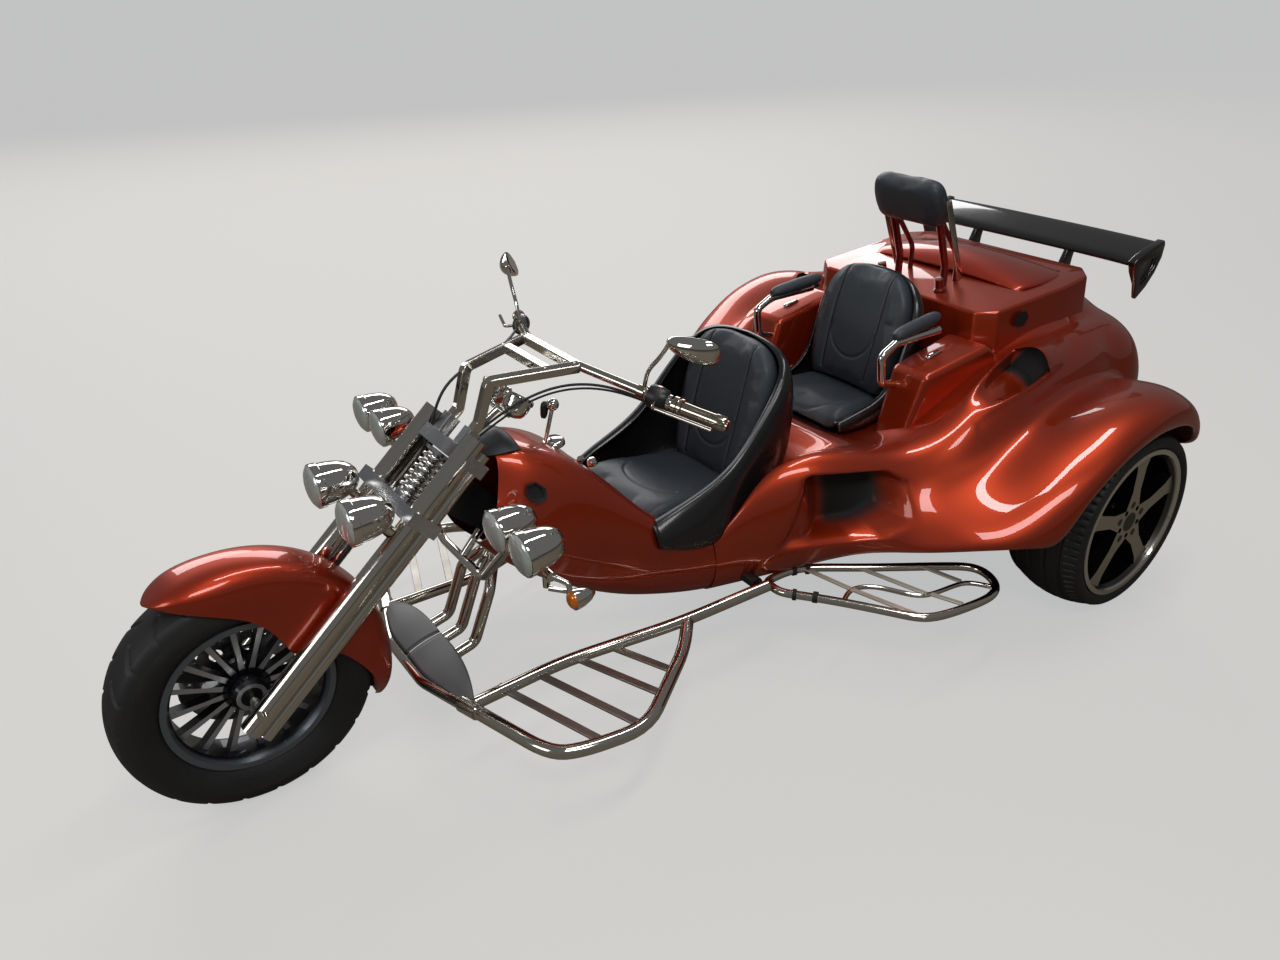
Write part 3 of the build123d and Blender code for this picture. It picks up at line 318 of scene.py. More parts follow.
def lensGlass(name, base, rough, ribs):
    glass = Shader(name)
    facets = glass.cells(ribs, output="Color")
    return glass.finish(
        Base_Color=base, Metallic=0.35, Roughness=rough, Coat_Weight=1.0, Coat_Roughness=0.02,
        Normal=glass.bump(facets, 0.004, 0.7))


wheelLook = {
    "treadEdge": {"front": .284, "rear": .29},
    "ribsPerMetre": 260, "ribDepth": .006,
    "rubber": ((.011, .011, .0115), (.018, .018, .0185)),
    # Radii of the front rim's hub ring, spoke feet and barrel
    "hubRing": .034, "hubRingHalf": .007, "spokeFoot": .06, "barrel": .193,
    # Dark colour of the faces that do not face sideways: painted shade
    "frontPaintedShade": (.014, .015, .018), "frontSpoke": (.4, .42, .46),
    "frontBarrel": (.15, .17, .2), "frontRing": (.34, .36, .38),
    # Radii of the rear rim's lip, bolt circle, bolt holes and hub hole
    "rearLip": .25, "lipWidth": .016, "bolts": 5, "boltCircle": .062, "boltRadius": .0125, "hubHole": .033,
    # Near-black painted shade for the pockets, bolt holes and hub hole
    "rearPaintedShade": (.022, .021, .02), "rearSpoke": (.47, .43, .36), "rearLipColour": (.66, .63, .58),
}


def tyreRubber(name, centre, treadEdge):
    # Fine ribs on the side walls; the tread is cut into the mesh
    look = wheelLook
    rubber = Shader(name)
    forward, up = rubber.aboutAxle(centre)
    radius = forward.hypotenuse(up)
    wall = radius.below(treadEdge, 0.004)
    ribs = (radius * look["ribsPerMetre"]).fraction().near(0.5, 0.28, 0.12) * wall * 0.12
    dust = rubber.noise(14.0, 4.0)
    return rubber.finish(
        Base_Color=rubber.mix(dust, *look["rubber"]), Roughness=dust * 0.12 + 0.50,
        Normal=rubber.bump(ribs, look["ribDepth"], 1.0))


def frontSpokes(name, centre):
    look = wheelLook
    rim = Shader(name)
    forward, up = rim.aboutAxle(centre)
    radius = forward.hypotenuse(up)
    facing = rim.facing(0.8, 0.1)
    barrel = radius.above(look["barrel"], 0.003)
    spoke = facing * radius.above(look["spokeFoot"], 0.002)
    ring = facing * radius.near(look["hubRing"], look["hubRingHalf"], 0.001)
    # Sideways faces beyond the spoke feet are silver; the other faces keep the dark painted shade
    colour = rim.mix(spoke, look["frontPaintedShade"], look["frontSpoke"])
    colour = rim.mix(ring, rim.mix(barrel, colour, look["frontBarrel"]), look["frontRing"])
    return rim.finish(Base_Color=colour, Metallic=0.7, Roughness=0.34 - spoke * 0.06, Coat_Weight=0.4)


def rearSpokes(name, centre):
    # Silver faces and a bright lip; the dark pockets, bolt holes and hub hole are painted shade
    look = wheelLook
    rim = Shader(name)
    forward, up = rim.aboutAxle(centre)
    radius = forward.hypotenuse(up)
    angle = forward.maths("ARCTAN2", up, forward)
    facing = rim.facing(0.55, 0.15)
    lip = radius.above(look["rearLip"] - look["lipWidth"], 0.002)
    span = 2 * math.pi / look["bolts"]
    around = ((angle * (1 / span) + 0.25).fraction() - 0.5) * span * radius
    bolt = around.hypotenuse(radius - look["boltCircle"]).below(look["boltRadius"], 0.0015)
    face = facing * (1.0 - bolt.highest(radius.below(look["hubHole"], 0.001)))
    colour = rim.mix(face, look["rearPaintedShade"], look["rearSpoke"])
    return rim.finish(
        Base_Color=rim.mix(lip, colour, look["rearLipColour"]), Metallic=0.9,
        Roughness=0.36 - lip * 0.26, Coat_Weight=0.3)


def wheelCentre(node):
    low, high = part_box(node)
    return (low + high) / 2


# Each material's maker and what it is given
recipes = {
    "frontTyre": (tyreRubber, wheelCentre("front_tyre"), wheelLook["treadEdge"]["front"]),
    "leftTyre": (tyreRubber, wheelCentre("left_rear_tyre"), wheelLook["treadEdge"]["rear"]),
    "rightTyre": (tyreRubber, wheelCentre("right_rear_tyre"), wheelLook["treadEdge"]["rear"]),
    "frontSpokes": (frontSpokes, wheelCentre("front_rim")),
    "leftSpokes": (rearSpokes, wheelCentre("left_rear_tyre")),
    "rightSpokes": (rearSpokes, wheelCentre("right_rear_tyre")),
    "gripChrome": (chromeMetal, (.5, .44, .37), .12),
    "mirrorGlass": (chromeMetal, (.62, .65, .67), .02),
    "sealGrey": (plainSurface, (.03, .033, .037), .45),
    "bodyPaint": (carPaint, (.44, .036, .0025), (.38, .028, .0025)),
    "fenderPaint": (carPaint, (.46, .034, .004), (.4, .028, .004)),
    "postPaint": (plainSurface, (.16, .008, .004), .25, .3, 1),
    "chrome": (chromeMetal, (.74, .72, .68), .05),
    "polished": (chromeMetal, (.66, .62, .56), .11, .4),
    "satinAlloy": (chromeMetal, (.52, .53, .55), .26),
    "satinBlack": (plainSurface, (.012, .012, .013), .38),
    "wingBlack": (plainSurface, (.008, .008, .009), .16, 0, 1),
    "mattBlack": (plainSurface, (.01, .01, .01), .75, 0, 0, 60, .002),
    # Flat black for the block's holes: painted shade
    "holeBlack": (plainSurface, (.003, .003, .003), .8),
    "lidPaint": (carPaint, (.42, .03, .006), (.36, .026, .005)),
    "greyPlate": (plainSurface, (.135, .135, .137), .5, .6),
    "castGrey": (plainSurface, (.1, .1, .1), .6, .7, 0, 220, .0008),
    "slatGrey": (chromeMetal, (.33, .31, .28), .42),
    # Passenger slats: steel with a pale cream base colour that is a painted reflection
    "slatSteel": (plainSurface, (.6, .55, .46), .38, .45),
    "discSteel": (chromeMetal, (.4, .4, .41), .3),
    "gripRubber": (plainSurface, (.012, .012, .013), .5),
    # Dark leather; its lifted bluish base colour is a painted sheen
    "seatHide": (leather, (.024, .03, .038), .36),
    "seatShell": (plainSurface, (.009, .009, .01), .27, 0, .25),
    "seamThread": (plainSurface, (.003, .003, .004), .9),
    "pipingGrey": (plainSurface, (.16, .17, .18), .35),
    "redLens": (lensGlass, (.3, .006, .006), .12, 90),
    "amberLens": (lensGlass, (.75, .2, .015), .12, 90),
    "clearLens": (lensGlass, (.55, .6, .58), .1, 45),
    "plateWhite": (plainSurface, (.62, .62, .6), .35),
    "dialFace": (plainSurface, (.02, .02, .022), .3, 0, 1),
}
paints = {name: make(name, *values) for name, (make, *values) in recipes.items()}
print("trike: materials")


def soften(piece, width, angle=30.0, segments=4):
    soft = piece.modifiers.new("soft", "BEVEL")
    soft.width = width
    soft.segments = segments
    soft.limit_method = "ANGLE"
    soft.angle_limit = math.radians(angle)
    return piece


# CAD nodes that are shown as they are, by material, and those whose edges are softened
plainNodes = {
    "satinBlack": ["main_frame", "trailing_arms"],
    "polished": ["front_bow_bar", "exhausts", "fork_legs", "handlebar"],
    "chrome": ["lamp_bar", "gear_lever", "armrest_tubes", "shock_absorbers"],
    "mattBlack": ["side_radiators"],
    "postPaint": ["headrest_posts"],
    "castGrey": ["engine_block", "brake_caliper"],
    "redLens": ["tail_lamps"],
    "plateWhite": ["number_plate"],
    "satinAlloy": ["fork_yokes"],
    "discSteel": ["brake_disc"],
    "frontSpokes": ["front_rim"],
    "leftSpokes": ["left_rear_rim"],
    "rightSpokes": ["right_rear_rim"],
}
nodeBevels = {"handlebar": .002, "front_rim": .0015}


def dress(node, paint):
    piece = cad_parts[node]
    piece.data.materials.clear()
    piece.data.materials.append(paints[paint])
    for polygon in piece.data.polygons:
        polygon.use_smooth = True
    if node in nodeBevels:
        soften(piece, nodeBevels[node], 35.0, 3)


for paint, nodes in plainNodes.items():
    for node in nodes:
        dress(node, paint)


# Body. Each row is a station and its half section from the deck's middle to the underside, as (Y, height).
bodyRows = [
    (1.215, [(0, .36), (.15, .36), (.235, .37), (.254, .39), (.266, .398), (.276, .39), (.2835, .372),
             (.29, .336), (.2885, .3), (.281, .264), (.268, .236), (.252, .2155), (.232, .2045), (.2, .2)]),
    (1.15, [(0, .36), (.15, .36), (.272, .365), (.29, .455), (.3, .487), (.312, .478), (.322, .45),
            (.33, .405), (.332, .355), (.322, .3), (.305, .255), (.282, .226), (.262, .21), (.22, .208)]),
    (1.06, [(0, .36), (.15, .36), (.26, .37), (.288, .575), (.305, .595), (.332, .58), (.358, .535),
            (.378, .475), (.388, .415), (.384, .351), (.368, .292), (.345, .257), (.322, .237),
            (.28, .235)]),
    (.96, [(0, .37), (.15, .37), (.27, .4), (.315, .628), (.34, .64), (.372, .628), (.402, .596),
           (.425, .535), (.436, .46), (.436, .387), (.424, .324), (.4, .279), (.375, .257), (.33, .254)]),
    (.87, [(0, .48), (.15, .48), (.28, .52), (.335, .635), (.365, .64), (.4, .63), (.432, .602),
           (.455, .545), (.466, .47), (.468, .396), (.458, .332), (.435, .288), (.41, .267), (.36, .264)]),
    (.78, [(0, .59), (.15, .59), (.29, .6), (.355, .62), (.392, .625), (.43, .616), (.463, .59), (.487, .54),
           (.5, .475), (.512, .408), (.52, .356), (.51, .321), (.49, .304), (.44, .3)]),
    (.7, [(0, .585), (.15, .585), (.29, .59), (.37, .602), (.412, .608), (.452, .6), (.488, .577),
          (.514, .535), (.533, .488), (.57, .44), (.62, .396), (.655, .366), (.655, .346), (.6, .339)]),
    (.62, [(0, .53), (.15, .53), (.29, .56), (.385, .598), (.432, .606), (.478, .599), (.52, .577),
           (.548, .545), (.585, .51), (.65, .473), (.72, .434), (.768, .404), (.77, .383), (.73, .376)]),
    (.54, [(0, .51), (.15, .51), (.325, .592), (.395, .618), (.445, .628), (.502, .622), (.552, .595),
           (.582, .556), (.625, .524), (.712, .493), (.795, .458), (.842, .422), (.845, .396), (.81, .388)]),
    (.47, [(0, .51), (.15, .51), (.335, .628), (.402, .655), (.455, .67), (.52, .668), (.575, .635),
           (.605, .58), (.65, .545), (.742, .53), (.835, .505), (.884, .455), (.886, .4), (.86, .386)]),
    (.41, [(0, .51), (.15, .51), (.34, .665), (.408, .692), (.462, .709), (.532, .708), (.586, .668),
           (.614, .606), (.662, .575), (.762, .572), (.858, .55), (.906, .488), (.908, .398), (.885, .372)]),
    (.35, [(0, .52), (.16, .52), (.35, .697), (.414, .722), (.468, .742), (.54, .742), (.594, .697),
           (.618, .634), (.668, .608), (.775, .612), (.868, .592), (.914, .545), (.917, .5), (.898, .492)]),
    (.28, [(0, .6), (.18, .6), (.36, .727), (.42, .748), (.474, .769), (.546, .768), (.6, .718), (.62, .655),
           (.674, .637), (.785, .65), (.876, .63), (.918, .6), (.921, .552), (.903, .55)]),
    (.2, [(0, .72), (.2, .72), (.37, .757), (.428, .772), (.48, .795), (.55, .792), (.6, .735), (.615, .665),
          (.668, .6593), (.792, .69), (.882, .674), (.922, .6501), (.9245, .598), (.906, .602)]),
    (.11, [(0, .8), (.2, .8), (.385, .8), (.434, .785), (.483, .812), (.55, .802), (.594, .742), (.606, .67),
           (.66, .6757), (.798, .72), (.888, .706), (.924, .6839), (.925, .63), (.908, .636)]),
    (0, [(0, .84), (.2, .84), (.395, .84), (.438, .8), (.484, .822), (.546, .806), (.586, .742), (.6, .672),
         (.655, .6861), (.802, .741), (.89, .728), (.9245, .7087), (.925, .648), (.909, .655)]),
    (-.11, [(0, .85), (.2, .85), (.395, .85), (.436, .806), (.48, .824), (.538, .804), (.578, .74),
            (.59, .668), (.645, .6816), (.796, .738), (.886, .724), (.921, .706), (.925, .64),
            (.908, .648)]),
    (-.2, [(0, .85), (.2, .85), (.39, .85), (.428, .81), (.47, .822), (.527, .8), (.566, .735), (.58, .66),
           (.63, .692), (.782, .722), (.872, .7), (.917, .668), (.922, .604), (.905, .612)]),
    (-.27, [(0, .85), (.2, .85), (.38, .85), (.418, .812), (.458, .818), (.513, .794), (.552, .728),
            (.568, .648), (.612, .66), (.765, .678), (.85, .65), (.905, .606), (.912, .545), (.892, .545)]),
    (-.33, [(0, .86), (.2, .86), (.37, .85), (.406, .812), (.457, .812), (.519, .784), (.558, .716),
            (.575, .635), (.6, .612), (.7, .598), (.8, .56), (.862, .515), (.865, .47), (.83, .462)]),
    (-.39, [(0, .885), (.2, .88), (.35, .845), (.388, .812), (.4514, .806), (.524, .77), (.564, .7),
            (.582, .62), (.592, .565), (.609, .515), (.619, .482), (.619, .458), (.604, .445),
            (.564, .443)]),
    (-.45, [(0, .885), (.2, .872), (.33, .832), (.366, .806), (.4416, .796), (.521, .754), (.56, .682),
            (.578, .612), (.58, .568), (.578, .525), (.571, .49), (.558, .465), (.54, .452), (.496, .45)]),
    (-.51, [(0, .865), (.2, .846), (.3, .806), (.335, .785), (.416, .77), (.495, .724), (.532, .66),
            (.546, .605), (.546, .568), (.542, .532), (.532, .5), (.518, .478), (.5, .466), (.46, .464)]),
    (-.565, [(0, .825), (.18, .806), (.26, .772), (.292, .754), (.3712, .738), (.444, .698), (.476, .644),
             (.487, .6), (.487, .57), (.482, .54), (.472, .514), (.458, .494), (.442, .484), (.402, .482)]),
    (-.605, [(0, .77), (.15, .755), (.22, .73), (.248, .716), (.3164, .702), (.377, .672), (.399, .632),
             (.407, .6), (.407, .574), (.402, .55), (.392, .53), (.38, .514), (.366, .506), (.324, .504)]),
    (-.618, [(0, .715), (.12, .702), (.17, .686), (.192, .676), (.246, .666), (.292, .646), (.306, .62),
             (.31, .6), (.31, .58), (.306, .562), (.298, .548), (.288, .536), (.276, .53), (.24, .528)]),
]

# Tank, ahead of the body. Each row is a full half section, as (X, Y, height).
tankRows = [
    [(1.205, 0, .455), (1.205, .1, .455), (1.205, .19, .445), (1.205, .235, .425), (1.205, .262, .405),
     (1.205, .28, .375), (1.205, .29, .33), (1.205, .286, .285), (1.205, .272, .245), (1.205, .252, .215),
     (1.205, .22, .2), (1.205, .15, .2)],
    [(1.29, 0, .46), (1.29, .1, .46), (1.29, .18, .455), (1.29, .226, .45), (1.29, .252, .435),
     (1.288, .268, .4), (1.285, .277, .35), (1.285, .273, .3), (1.286, .26, .26), (1.288, .24, .228),
     (1.29, .21, .212), (1.29, .14, .212)],
    [(1.39, 0, .5), (1.388, .1, .5), (1.386, .17, .505), (1.384, .212, .512), (1.38, .236, .49),
     (1.376, .25, .44), (1.372, .258, .385), (1.374, .254, .335), (1.38, .243, .29), (1.388, .224, .254),
     (1.392, .195, .236), (1.395, .12, .234)],
    [(1.49, 0, .63), (1.485, .09, .63), (1.48, .155, .625), (1.476, .19, .605), (1.472, .214, .56),
     (1.468, .23, .5), (1.464, .24, .435), (1.468, .236, .378), (1.48, .226, .326), (1.494, .208, .288),
     (1.502, .18, .27), (1.506, .1, .266)],
    [(1.59, 0, .735), (1.585, .08, .733), (1.578, .135, .72), (1.574, .168, .688), (1.57, .192, .632),
     (1.566, .21, .56), (1.562, .222, .492), (1.572, .219, .436), (1.592, .21, .388), (1.612, .192, .348),
     (1.622, .16, .33), (1.626, .08, .326)],
    [(1.69, 0, .79), (1.686, .07, .788), (1.68, .118, .772), (1.676, .148, .736), (1.674, .172, .68),
     (1.672, .19, .61), (1.674, .204, .546), (1.69, .202, .496), (1.716, .193, .458), (1.736, .174, .428),
     (1.746, .14, .412), (1.75, .07, .408)],
    [(1.76, 0, .812), (1.758, .06, .81), (1.753, .104, .794), (1.753, .131, .756), (1.758, .154, .703),
     (1.766, .176, .648), (1.78, .19, .596), (1.8, .186, .56), (1.822, .172, .53), (1.838, .15, .51),
     (1.846, .12, .498), (1.85, .06, .496)],
    [(1.8, 0, .812), (1.8, .05, .806), (1.803, .08, .788), (1.81, .098, .75), (1.825, .114, .706),
     (1.843, .132, .662), (1.86, .144, .624), (1.874, .143, .6), (1.884, .128, .582), (1.892, .108, .57),
     (1.896, .08, .564), (1.898, .04, .562)],
]

# How finely each span is cut. The scoop beside the passenger's seat has the closest cells.
bodyRowSteps = [6, 8, 12, 18, 18, 20, 16, 6, 6, 7, 12, 18, 22, 26, 24, 16, 8, 7, 7, 7, 7, 7, 6, 5, 4]
bodyColumnSteps = [2, 2, 4, 10, 12, 16, 12, 8, 10, 10, 5, 4, 4]


def splineRow(count, steps, closed=False):
    # Weights of a uniform cubic spline through `count` controls. Steps is one number, or one for each span.
    spans = count if closed else count - 1
    each = [steps] * spans if isinstance(steps, int) else list(steps)
    rows = []
    for span in range(spans):
        last = not closed and span == spans - 1
        for t in np.linspace(0.0, 1.0, each[span] + 1)[: None if last else -1]:
            weights = ((1 - t) ** 3 / 6, (3 * t ** 3 - 6 * t * t + 4) / 6,
                       (-3 * t ** 3 + 3 * t * t + 3 * t + 1) / 6, t ** 3 / 6)
            row = np.zeros(count)
            for k, weight in zip(range(span - 1, span + 3), weights):
                if closed:
                    row[k % count] += weight
                elif k < 0:
                    row[0] += 2 * weight
                    row[1] -= weight
                elif k >= count:
                    row[-1] += 2 * weight
                    row[-2] -= weight
                else:
                    row[k] += weight
            rows.append(row)
    return np.array(rows)


def splineGrid(controls, rowSteps, columnSteps, closedRows=False, closedColumns=False):
    grid = np.array(controls, float)
    across = splineRow(grid.shape[0], rowSteps, closedRows)
    along = splineRow(grid.shape[1], columnSteps, closedColumns)
    return np.einsum("ri,ijk,cj->rck", across, grid, along)


def gridFaces(rows, columns, closedRows=False, closedColumns=False, skip=None):
    faces = []
    for i in range(rows if closedRows else rows - 1):
        for j in range(columns if closedColumns else columns - 1):
            if skip is None or not skip[i][j]:
                here, above = i * columns, (i + 1) % rows * columns
                after = (j + 1) % columns
                faces.append((here + j, here + after, above + after, above + j))
    return faces


def places(surface):
    return [tuple(v) for v in surface.reshape(-1, 3)]


def closedLoft(rows, rowSteps, columnSteps):
    # A smooth skin round closed rows, with a flat cap at each end
    surface = splineGrid(rows, rowSteps, columnSteps, closedColumns=True)
    count, around = surface.shape[:2]
    faces = gridFaces(count, around, closedColumns=True)
    faces += [tuple(range(around))[::-1], tuple(range((count - 1) * around, count * around))]
    return places(surface), faces


def smoothStep(low, high, value):
    t = np.clip((value - low) / (high - low), 0.0, 1.0)
    return t * t * (3 - 2 * t)


# Scoop beside the passenger's seat: an oval recess in the outer slope that sinks to a dark mouth under a
# rounded hood; the mouth's darkness is painted shade. The oval's middle line passes `middle` at station
# `middleAt` and turns by `lean`.
scoop = {
    "tip": .436, "mouth": .118, "halfWidth": .067,
    "middle": .029, "middleAt": .412, "lean": .193,
    "shallow": .01, "depth": .056, "rim": .0055, "rimWidth": .0075,
    "hood": .034, "hoodLength": .19, "hoodOverlap": .01,
    "slope": 35, "push": (.45, .89),
    "lipBack": .034, "lipAhead": .012, "lipDrop": .01,
}


# Opening in the flank beside the driver's seat, as (station, height) round its edge
sideOutline = [(1.048, .366), (.962, .592), (.72, .57), (.682, .532), (.698, .43), (.758, .368), (.83, .356)]


def scoopShift(points):
    # Across is measured along the outer slope, from the oval's middle line
    x, slope = points[..., 0], math.radians(scoop["slope"])
    across = points[..., 1] * math.cos(slope) - points[..., 2] * math.sin(slope)
    off = across - (scoop["middle"] - scoop["lean"] * (scoop["middleAt"] - x))
    half, length = scoop["halfWidth"], scoop["tip"] - scoop["mouth"]
    share = np.clip((scoop["tip"] - x) / length, 0.0, 1.0)
    halfHere = half * np.sqrt(np.maximum(1 - (1 - share) ** 2, 1e-6))
    oval = np.sqrt(((x - scoop["mouth"]) / length) ** 2 + (off / half) ** 2)
    inside = (1 - oval) * np.minimum(half, halfHere + 0.02)
    ahead = x > scoop["mouth"]
    deep = scoop["shallow"] + scoop["depth"] * smoothStep(0.40, 0.14, x)
    deep = deep * smoothStep(0.002, 0.024, inside) * ahead
    rim = scoop["rim"] * np.exp(-(inside / scoop["rimWidth"]) ** 2) * ahead
    back = np.clip((scoop["mouth"] - x) / scoop["hoodLength"], 0.0, 1.0)
    vault = np.clip(1 - (off / (half + scoop["hoodOverlap"])) ** 2, 0.0, 1.0) ** 1.1 * (1 - back) ** 1.4
    hoodRim = scoop["rim"] * (1 - back) ** 4 * np.exp(-((np.abs(off) - half) / scoop["hoodOverlap"]) ** 2)
    hood = (scoop["hood"] * vault + hoodRim) * ~ahead
    return rim + hood - deep, deep, off


def insideDistance(x, z, outline):
    # Distance to the outline's sides, positive inside. The outline runs round once.
    signed = np.full(x.shape, 1e9)
    points = np.array(outline)
    turn = np.sign(sum(a[0] * b[1] - b[0] * a[1] for a, b in zip(outline, outline[1:] + outline[:1])))
    for a, b in zip(points, np.roll(points, -1, axis=0)):
        along = (b - a) / np.linalg.norm(b - a)
        signed = np.minimum(signed, turn * (along[0] * (z - a[1]) - along[1] * (x - a[0])))
    return signed


def openingShift(points):
    # The lower edge slopes in over a wider strip, and the rear part is the deepest
    x, z = points[..., 0], points[..., 2]
    inside = insideDistance(x, z, sideOutline)
    low = smoothStep(0.48, 0.38, z) * smoothStep(1.0, 0.85, x)
    ramp = 0.016 + 0.034 * low
    deep = 0.030 + 0.085 * smoothStep(0.98, 0.86, x)
    return deep * smoothStep(-0.004, 1.0, np.clip(inside / ramp, -0.004, 1.0))


def calm(field, passes, lengthwise=0):
    # Averages each cell with its neighbours, then along the rows only
    for k in range(passes + lengthwise):
        padded = np.pad(field, 1, mode="edge")
        middle = padded[1:-1, 1:-1]
        ends = padded[:-2, 1:-1] + padded[2:, 1:-1]
        beside = padded[1:-1, :-2] + padded[1:-1, 2:]
        field = (middle * 4 + ends + beside) / 8 if k < passes else (middle * 2 + ends) / 4
    return field


bodySettings = {
    # Columns of the cut surface that the scoop and the side opening may move
    "scoopColumns": (6, 60), "openingColumns": (30, 96), "mouthColumn": 40,
    "tail": (-.624, 0, .6),
    # The wheel arch runs between two stations; its wall hangs from one column
    "arch": (-.36, .5), "archColumn": 58, "wallColumn": 65, "wallFoot": .3, "wallRise": .3,
}


def bodyShape():
    surface = splineGrid([[(x, y, z) for y, z in points] for x, points in bodyRows], bodyRowSteps,
                         bodyColumnSteps)
    top = np.zeros(surface.shape[:2], bool)
    top[:, slice(*bodySettings["scoopColumns"])] = True
    flank = np.zeros(surface.shape[:2], bool)
    flank[:, slice(*bodySettings["openingColumns"])] = True
    shift, scoopDeep, off = scoopShift(surface)
    shift, scoopDeep = shift * top, scoopDeep * top
    openDeep = calm(openingShift(surface) * flank, 3, 5)
    # Painted shade: the scoop's deep floor near its mouth and the deep rear of the side opening are
    # blackened through the shade attribute
    scoopShade = smoothStep(0.034, 0.060, scoopDeep) * smoothStep(0.200, 0.140, surface[..., 0])
    openShade = smoothStep(0.055, 0.100, openDeep) * smoothStep(0.900, 0.840, surface[..., 0])
    shade = np.maximum(scoopShade, calm(openShade, 2, 2))
    # The mouth's lip overhangs: one row lies back under the hood, and the next one is the lip. The row under
    # the hood is blackened as painted shade.
    under = int(np.argmax(surface[:, bodySettings["mouthColumn"], 0] < scoop["mouth"]))
    arch = np.sqrt(np.clip(1 - (off[under] / scoop["halfWidth"]) ** 2, 0.0, 1.0)) * top[under]
    shift[under] -= scoop["lipDrop"] * arch
    surface[under, :, 0] -= scoop["lipBack"] * arch
    surface[under + 1, :, 0] += scoop["lipAhead"] * arch
    shade[under] = np.maximum(shade[under], smoothStep(0.15, 0.5, arch))
    surface[..., 1] += shift * scoop["push"][0] - openDeep
    surface[..., 2] += shift * scoop["push"][1]
    return surface, shade


# Meshes of the looks. Their numbers are stations from the rear axle, which makePiece moves into the frame.
rearAxle = (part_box("left_rear_tyre")[0].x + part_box("left_rear_tyre")[1].x) / 2


sides = {1: "left", -1: "right"}


def onSide(place, side):
    return Vector((place[0], side * place[1], place[2]))


def makePiece(name, vertices, faces, paint, body, replaced=(), smooth=True, shade=None):
    mesh = bpy.data.meshes.new(name)
    mesh.from_pydata([(float(v[0]) + rearAxle, float(v[1]), float(v[2])) for v in vertices], [], faces)
    if shade is not None:
        values = mesh.attributes.new("shade", "FLOAT", "POINT").data
        values.foreach_set("value", np.array(shade, np.float32))
    mesh.materials.append(paints[paint])
    for polygon in mesh.polygons:
        polygon.use_smooth = smooth
    piece = bpy.data.objects.new(name, mesh)
    bpy.context.scene.collection.objects.link(piece)
    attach(piece, body)
    if replaced:
        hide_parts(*replaced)
    return piece


def editMesh(piece, *steps):
    work = bmesh.new()
    work.from_mesh(piece.data)
    for step in steps:
        step(work)
    work.to_mesh(piece.data)
    work.free()
    return piece


def joined(work):
    bmesh.ops.remove_doubles(work, verts=work.verts, dist=0.00002)


def outward(work):
    bmesh.ops.recalc_face_normals(work, faces=work.faces)


def sharpAbove(degrees):
    def mark(work):
        for edge in work.edges:
            edge.smooth = len(edge.link_faces) != 2 or edge.calc_face_angle(0.0) < math.radians(degrees)
    return mark


def thicken(piece, thickness, offset=-1.0):
    thick = piece.modifiers.new("thick", "SOLIDIFY")
    thick.thickness = thickness
    thick.offset = offset
    return piece


def mirrored(vertices, faces):
    # The left half and its mirror image in one list
    count = len(vertices)
    both = list(vertices) + [(v[0], -v[1], v[2]) for v in vertices]
    return both, faces + [tuple(k + count for k in reversed(face)) for face in faces]


def bothHalves(name, surface, paint, body, replaced=()):
    vertices, faces = mirrored(places(surface), gridFaces(*surface.shape[:2]))
    return editMesh(makePiece(name, vertices, faces, paint, body, replaced), joined, outward)


def prismFaces(count):
    ends = [tuple(range(count))[::-1], tuple(range(count, 2 * count))]
    return ends + [(k, (k + 1) % count, (k + 1) % count + count, k + count) for k in range(count)]


def prism(outline, low, high):
    # Outline in (station, height), from Y low to Y high
    vertices = [(x, y, z) for y in (low, high) for x, z in outline]
    return vertices, prismFaces(len(outline))


def buildBody():
    surface, shade = bodyShape()
    rows, columns = surface.shape[:2]
    back, front, half = blockSettings["boot"]
    boot = (surface[..., 0] < front) & (surface[..., 0] > back) & (surface[..., 1] < half)
    skip = [[boot[i:i + 2, j:j + 2].any() for j in range(columns - 1)] for i in range(rows - 1)]
    faces = gridFaces(rows, columns, skip=skip)
    vertices = places(surface)
    last, tail = (rows - 1) * columns, len(vertices)
    vertices.append(bodySettings["tail"])
    faces += [(last + j, last + j + 1, tail) for j in range(columns - 1)]
    vertices, faces = mirrored(vertices, faces)
    shades = np.tile(np.append(shade.ravel(), 0.0), 2)
    body = makePiece("body_skin", vertices, faces, "bodyPaint", "chassis", ("body_shell",), shade=shades)
    editMesh(body, joined, outward, sharpAbove(50.0))

    # Dark wall between the wheel and the body
    rear, front = bodySettings["arch"]
    strip = [i for i in range(rows) if rear < surface[i, bodySettings["archColumn"], 0] < front]
    wall = []
    for i in strip:
        x, y, z = surface[i, bodySettings["wallColumn"]]
        low = bodySettings["wallFoot"] + bodySettings["wallRise"] * smoothStep(0.20, 0.34, abs(x))
        wall += [(x, y, z - 0.004), (x, y, min(low, z - 0.010))]
    wallFaces = [(2 * k, 2 * k + 1, 2 * k + 3, 2 * k + 2) for k in range(len(strip) - 1)]
    makePiece("arch_walls", *mirrored(wall, wallFaces), "mattBlack", "chassis")


def buildTank():
    bothHalves("tank_skin", splineGrid(tankRows, 8, 7), "bodyPaint", "chassis", ("tank_shell",))


consoleSettings = {
    "outline": [(.566, .5), (.486, .786), (.225, .836), (.185, .8), (.185, .5)],
    "inner": .262, "outer": .402, "lean": .03, "leanFrom": .56, "leanLength": .35, "drawnIn": .02,
    "round": .02,
    "latch": [(.405, .802), (.4, .812), (.35, .821), (.335, .816)],
    "latchSides": (.322, .338), "latchRound": .004,
}


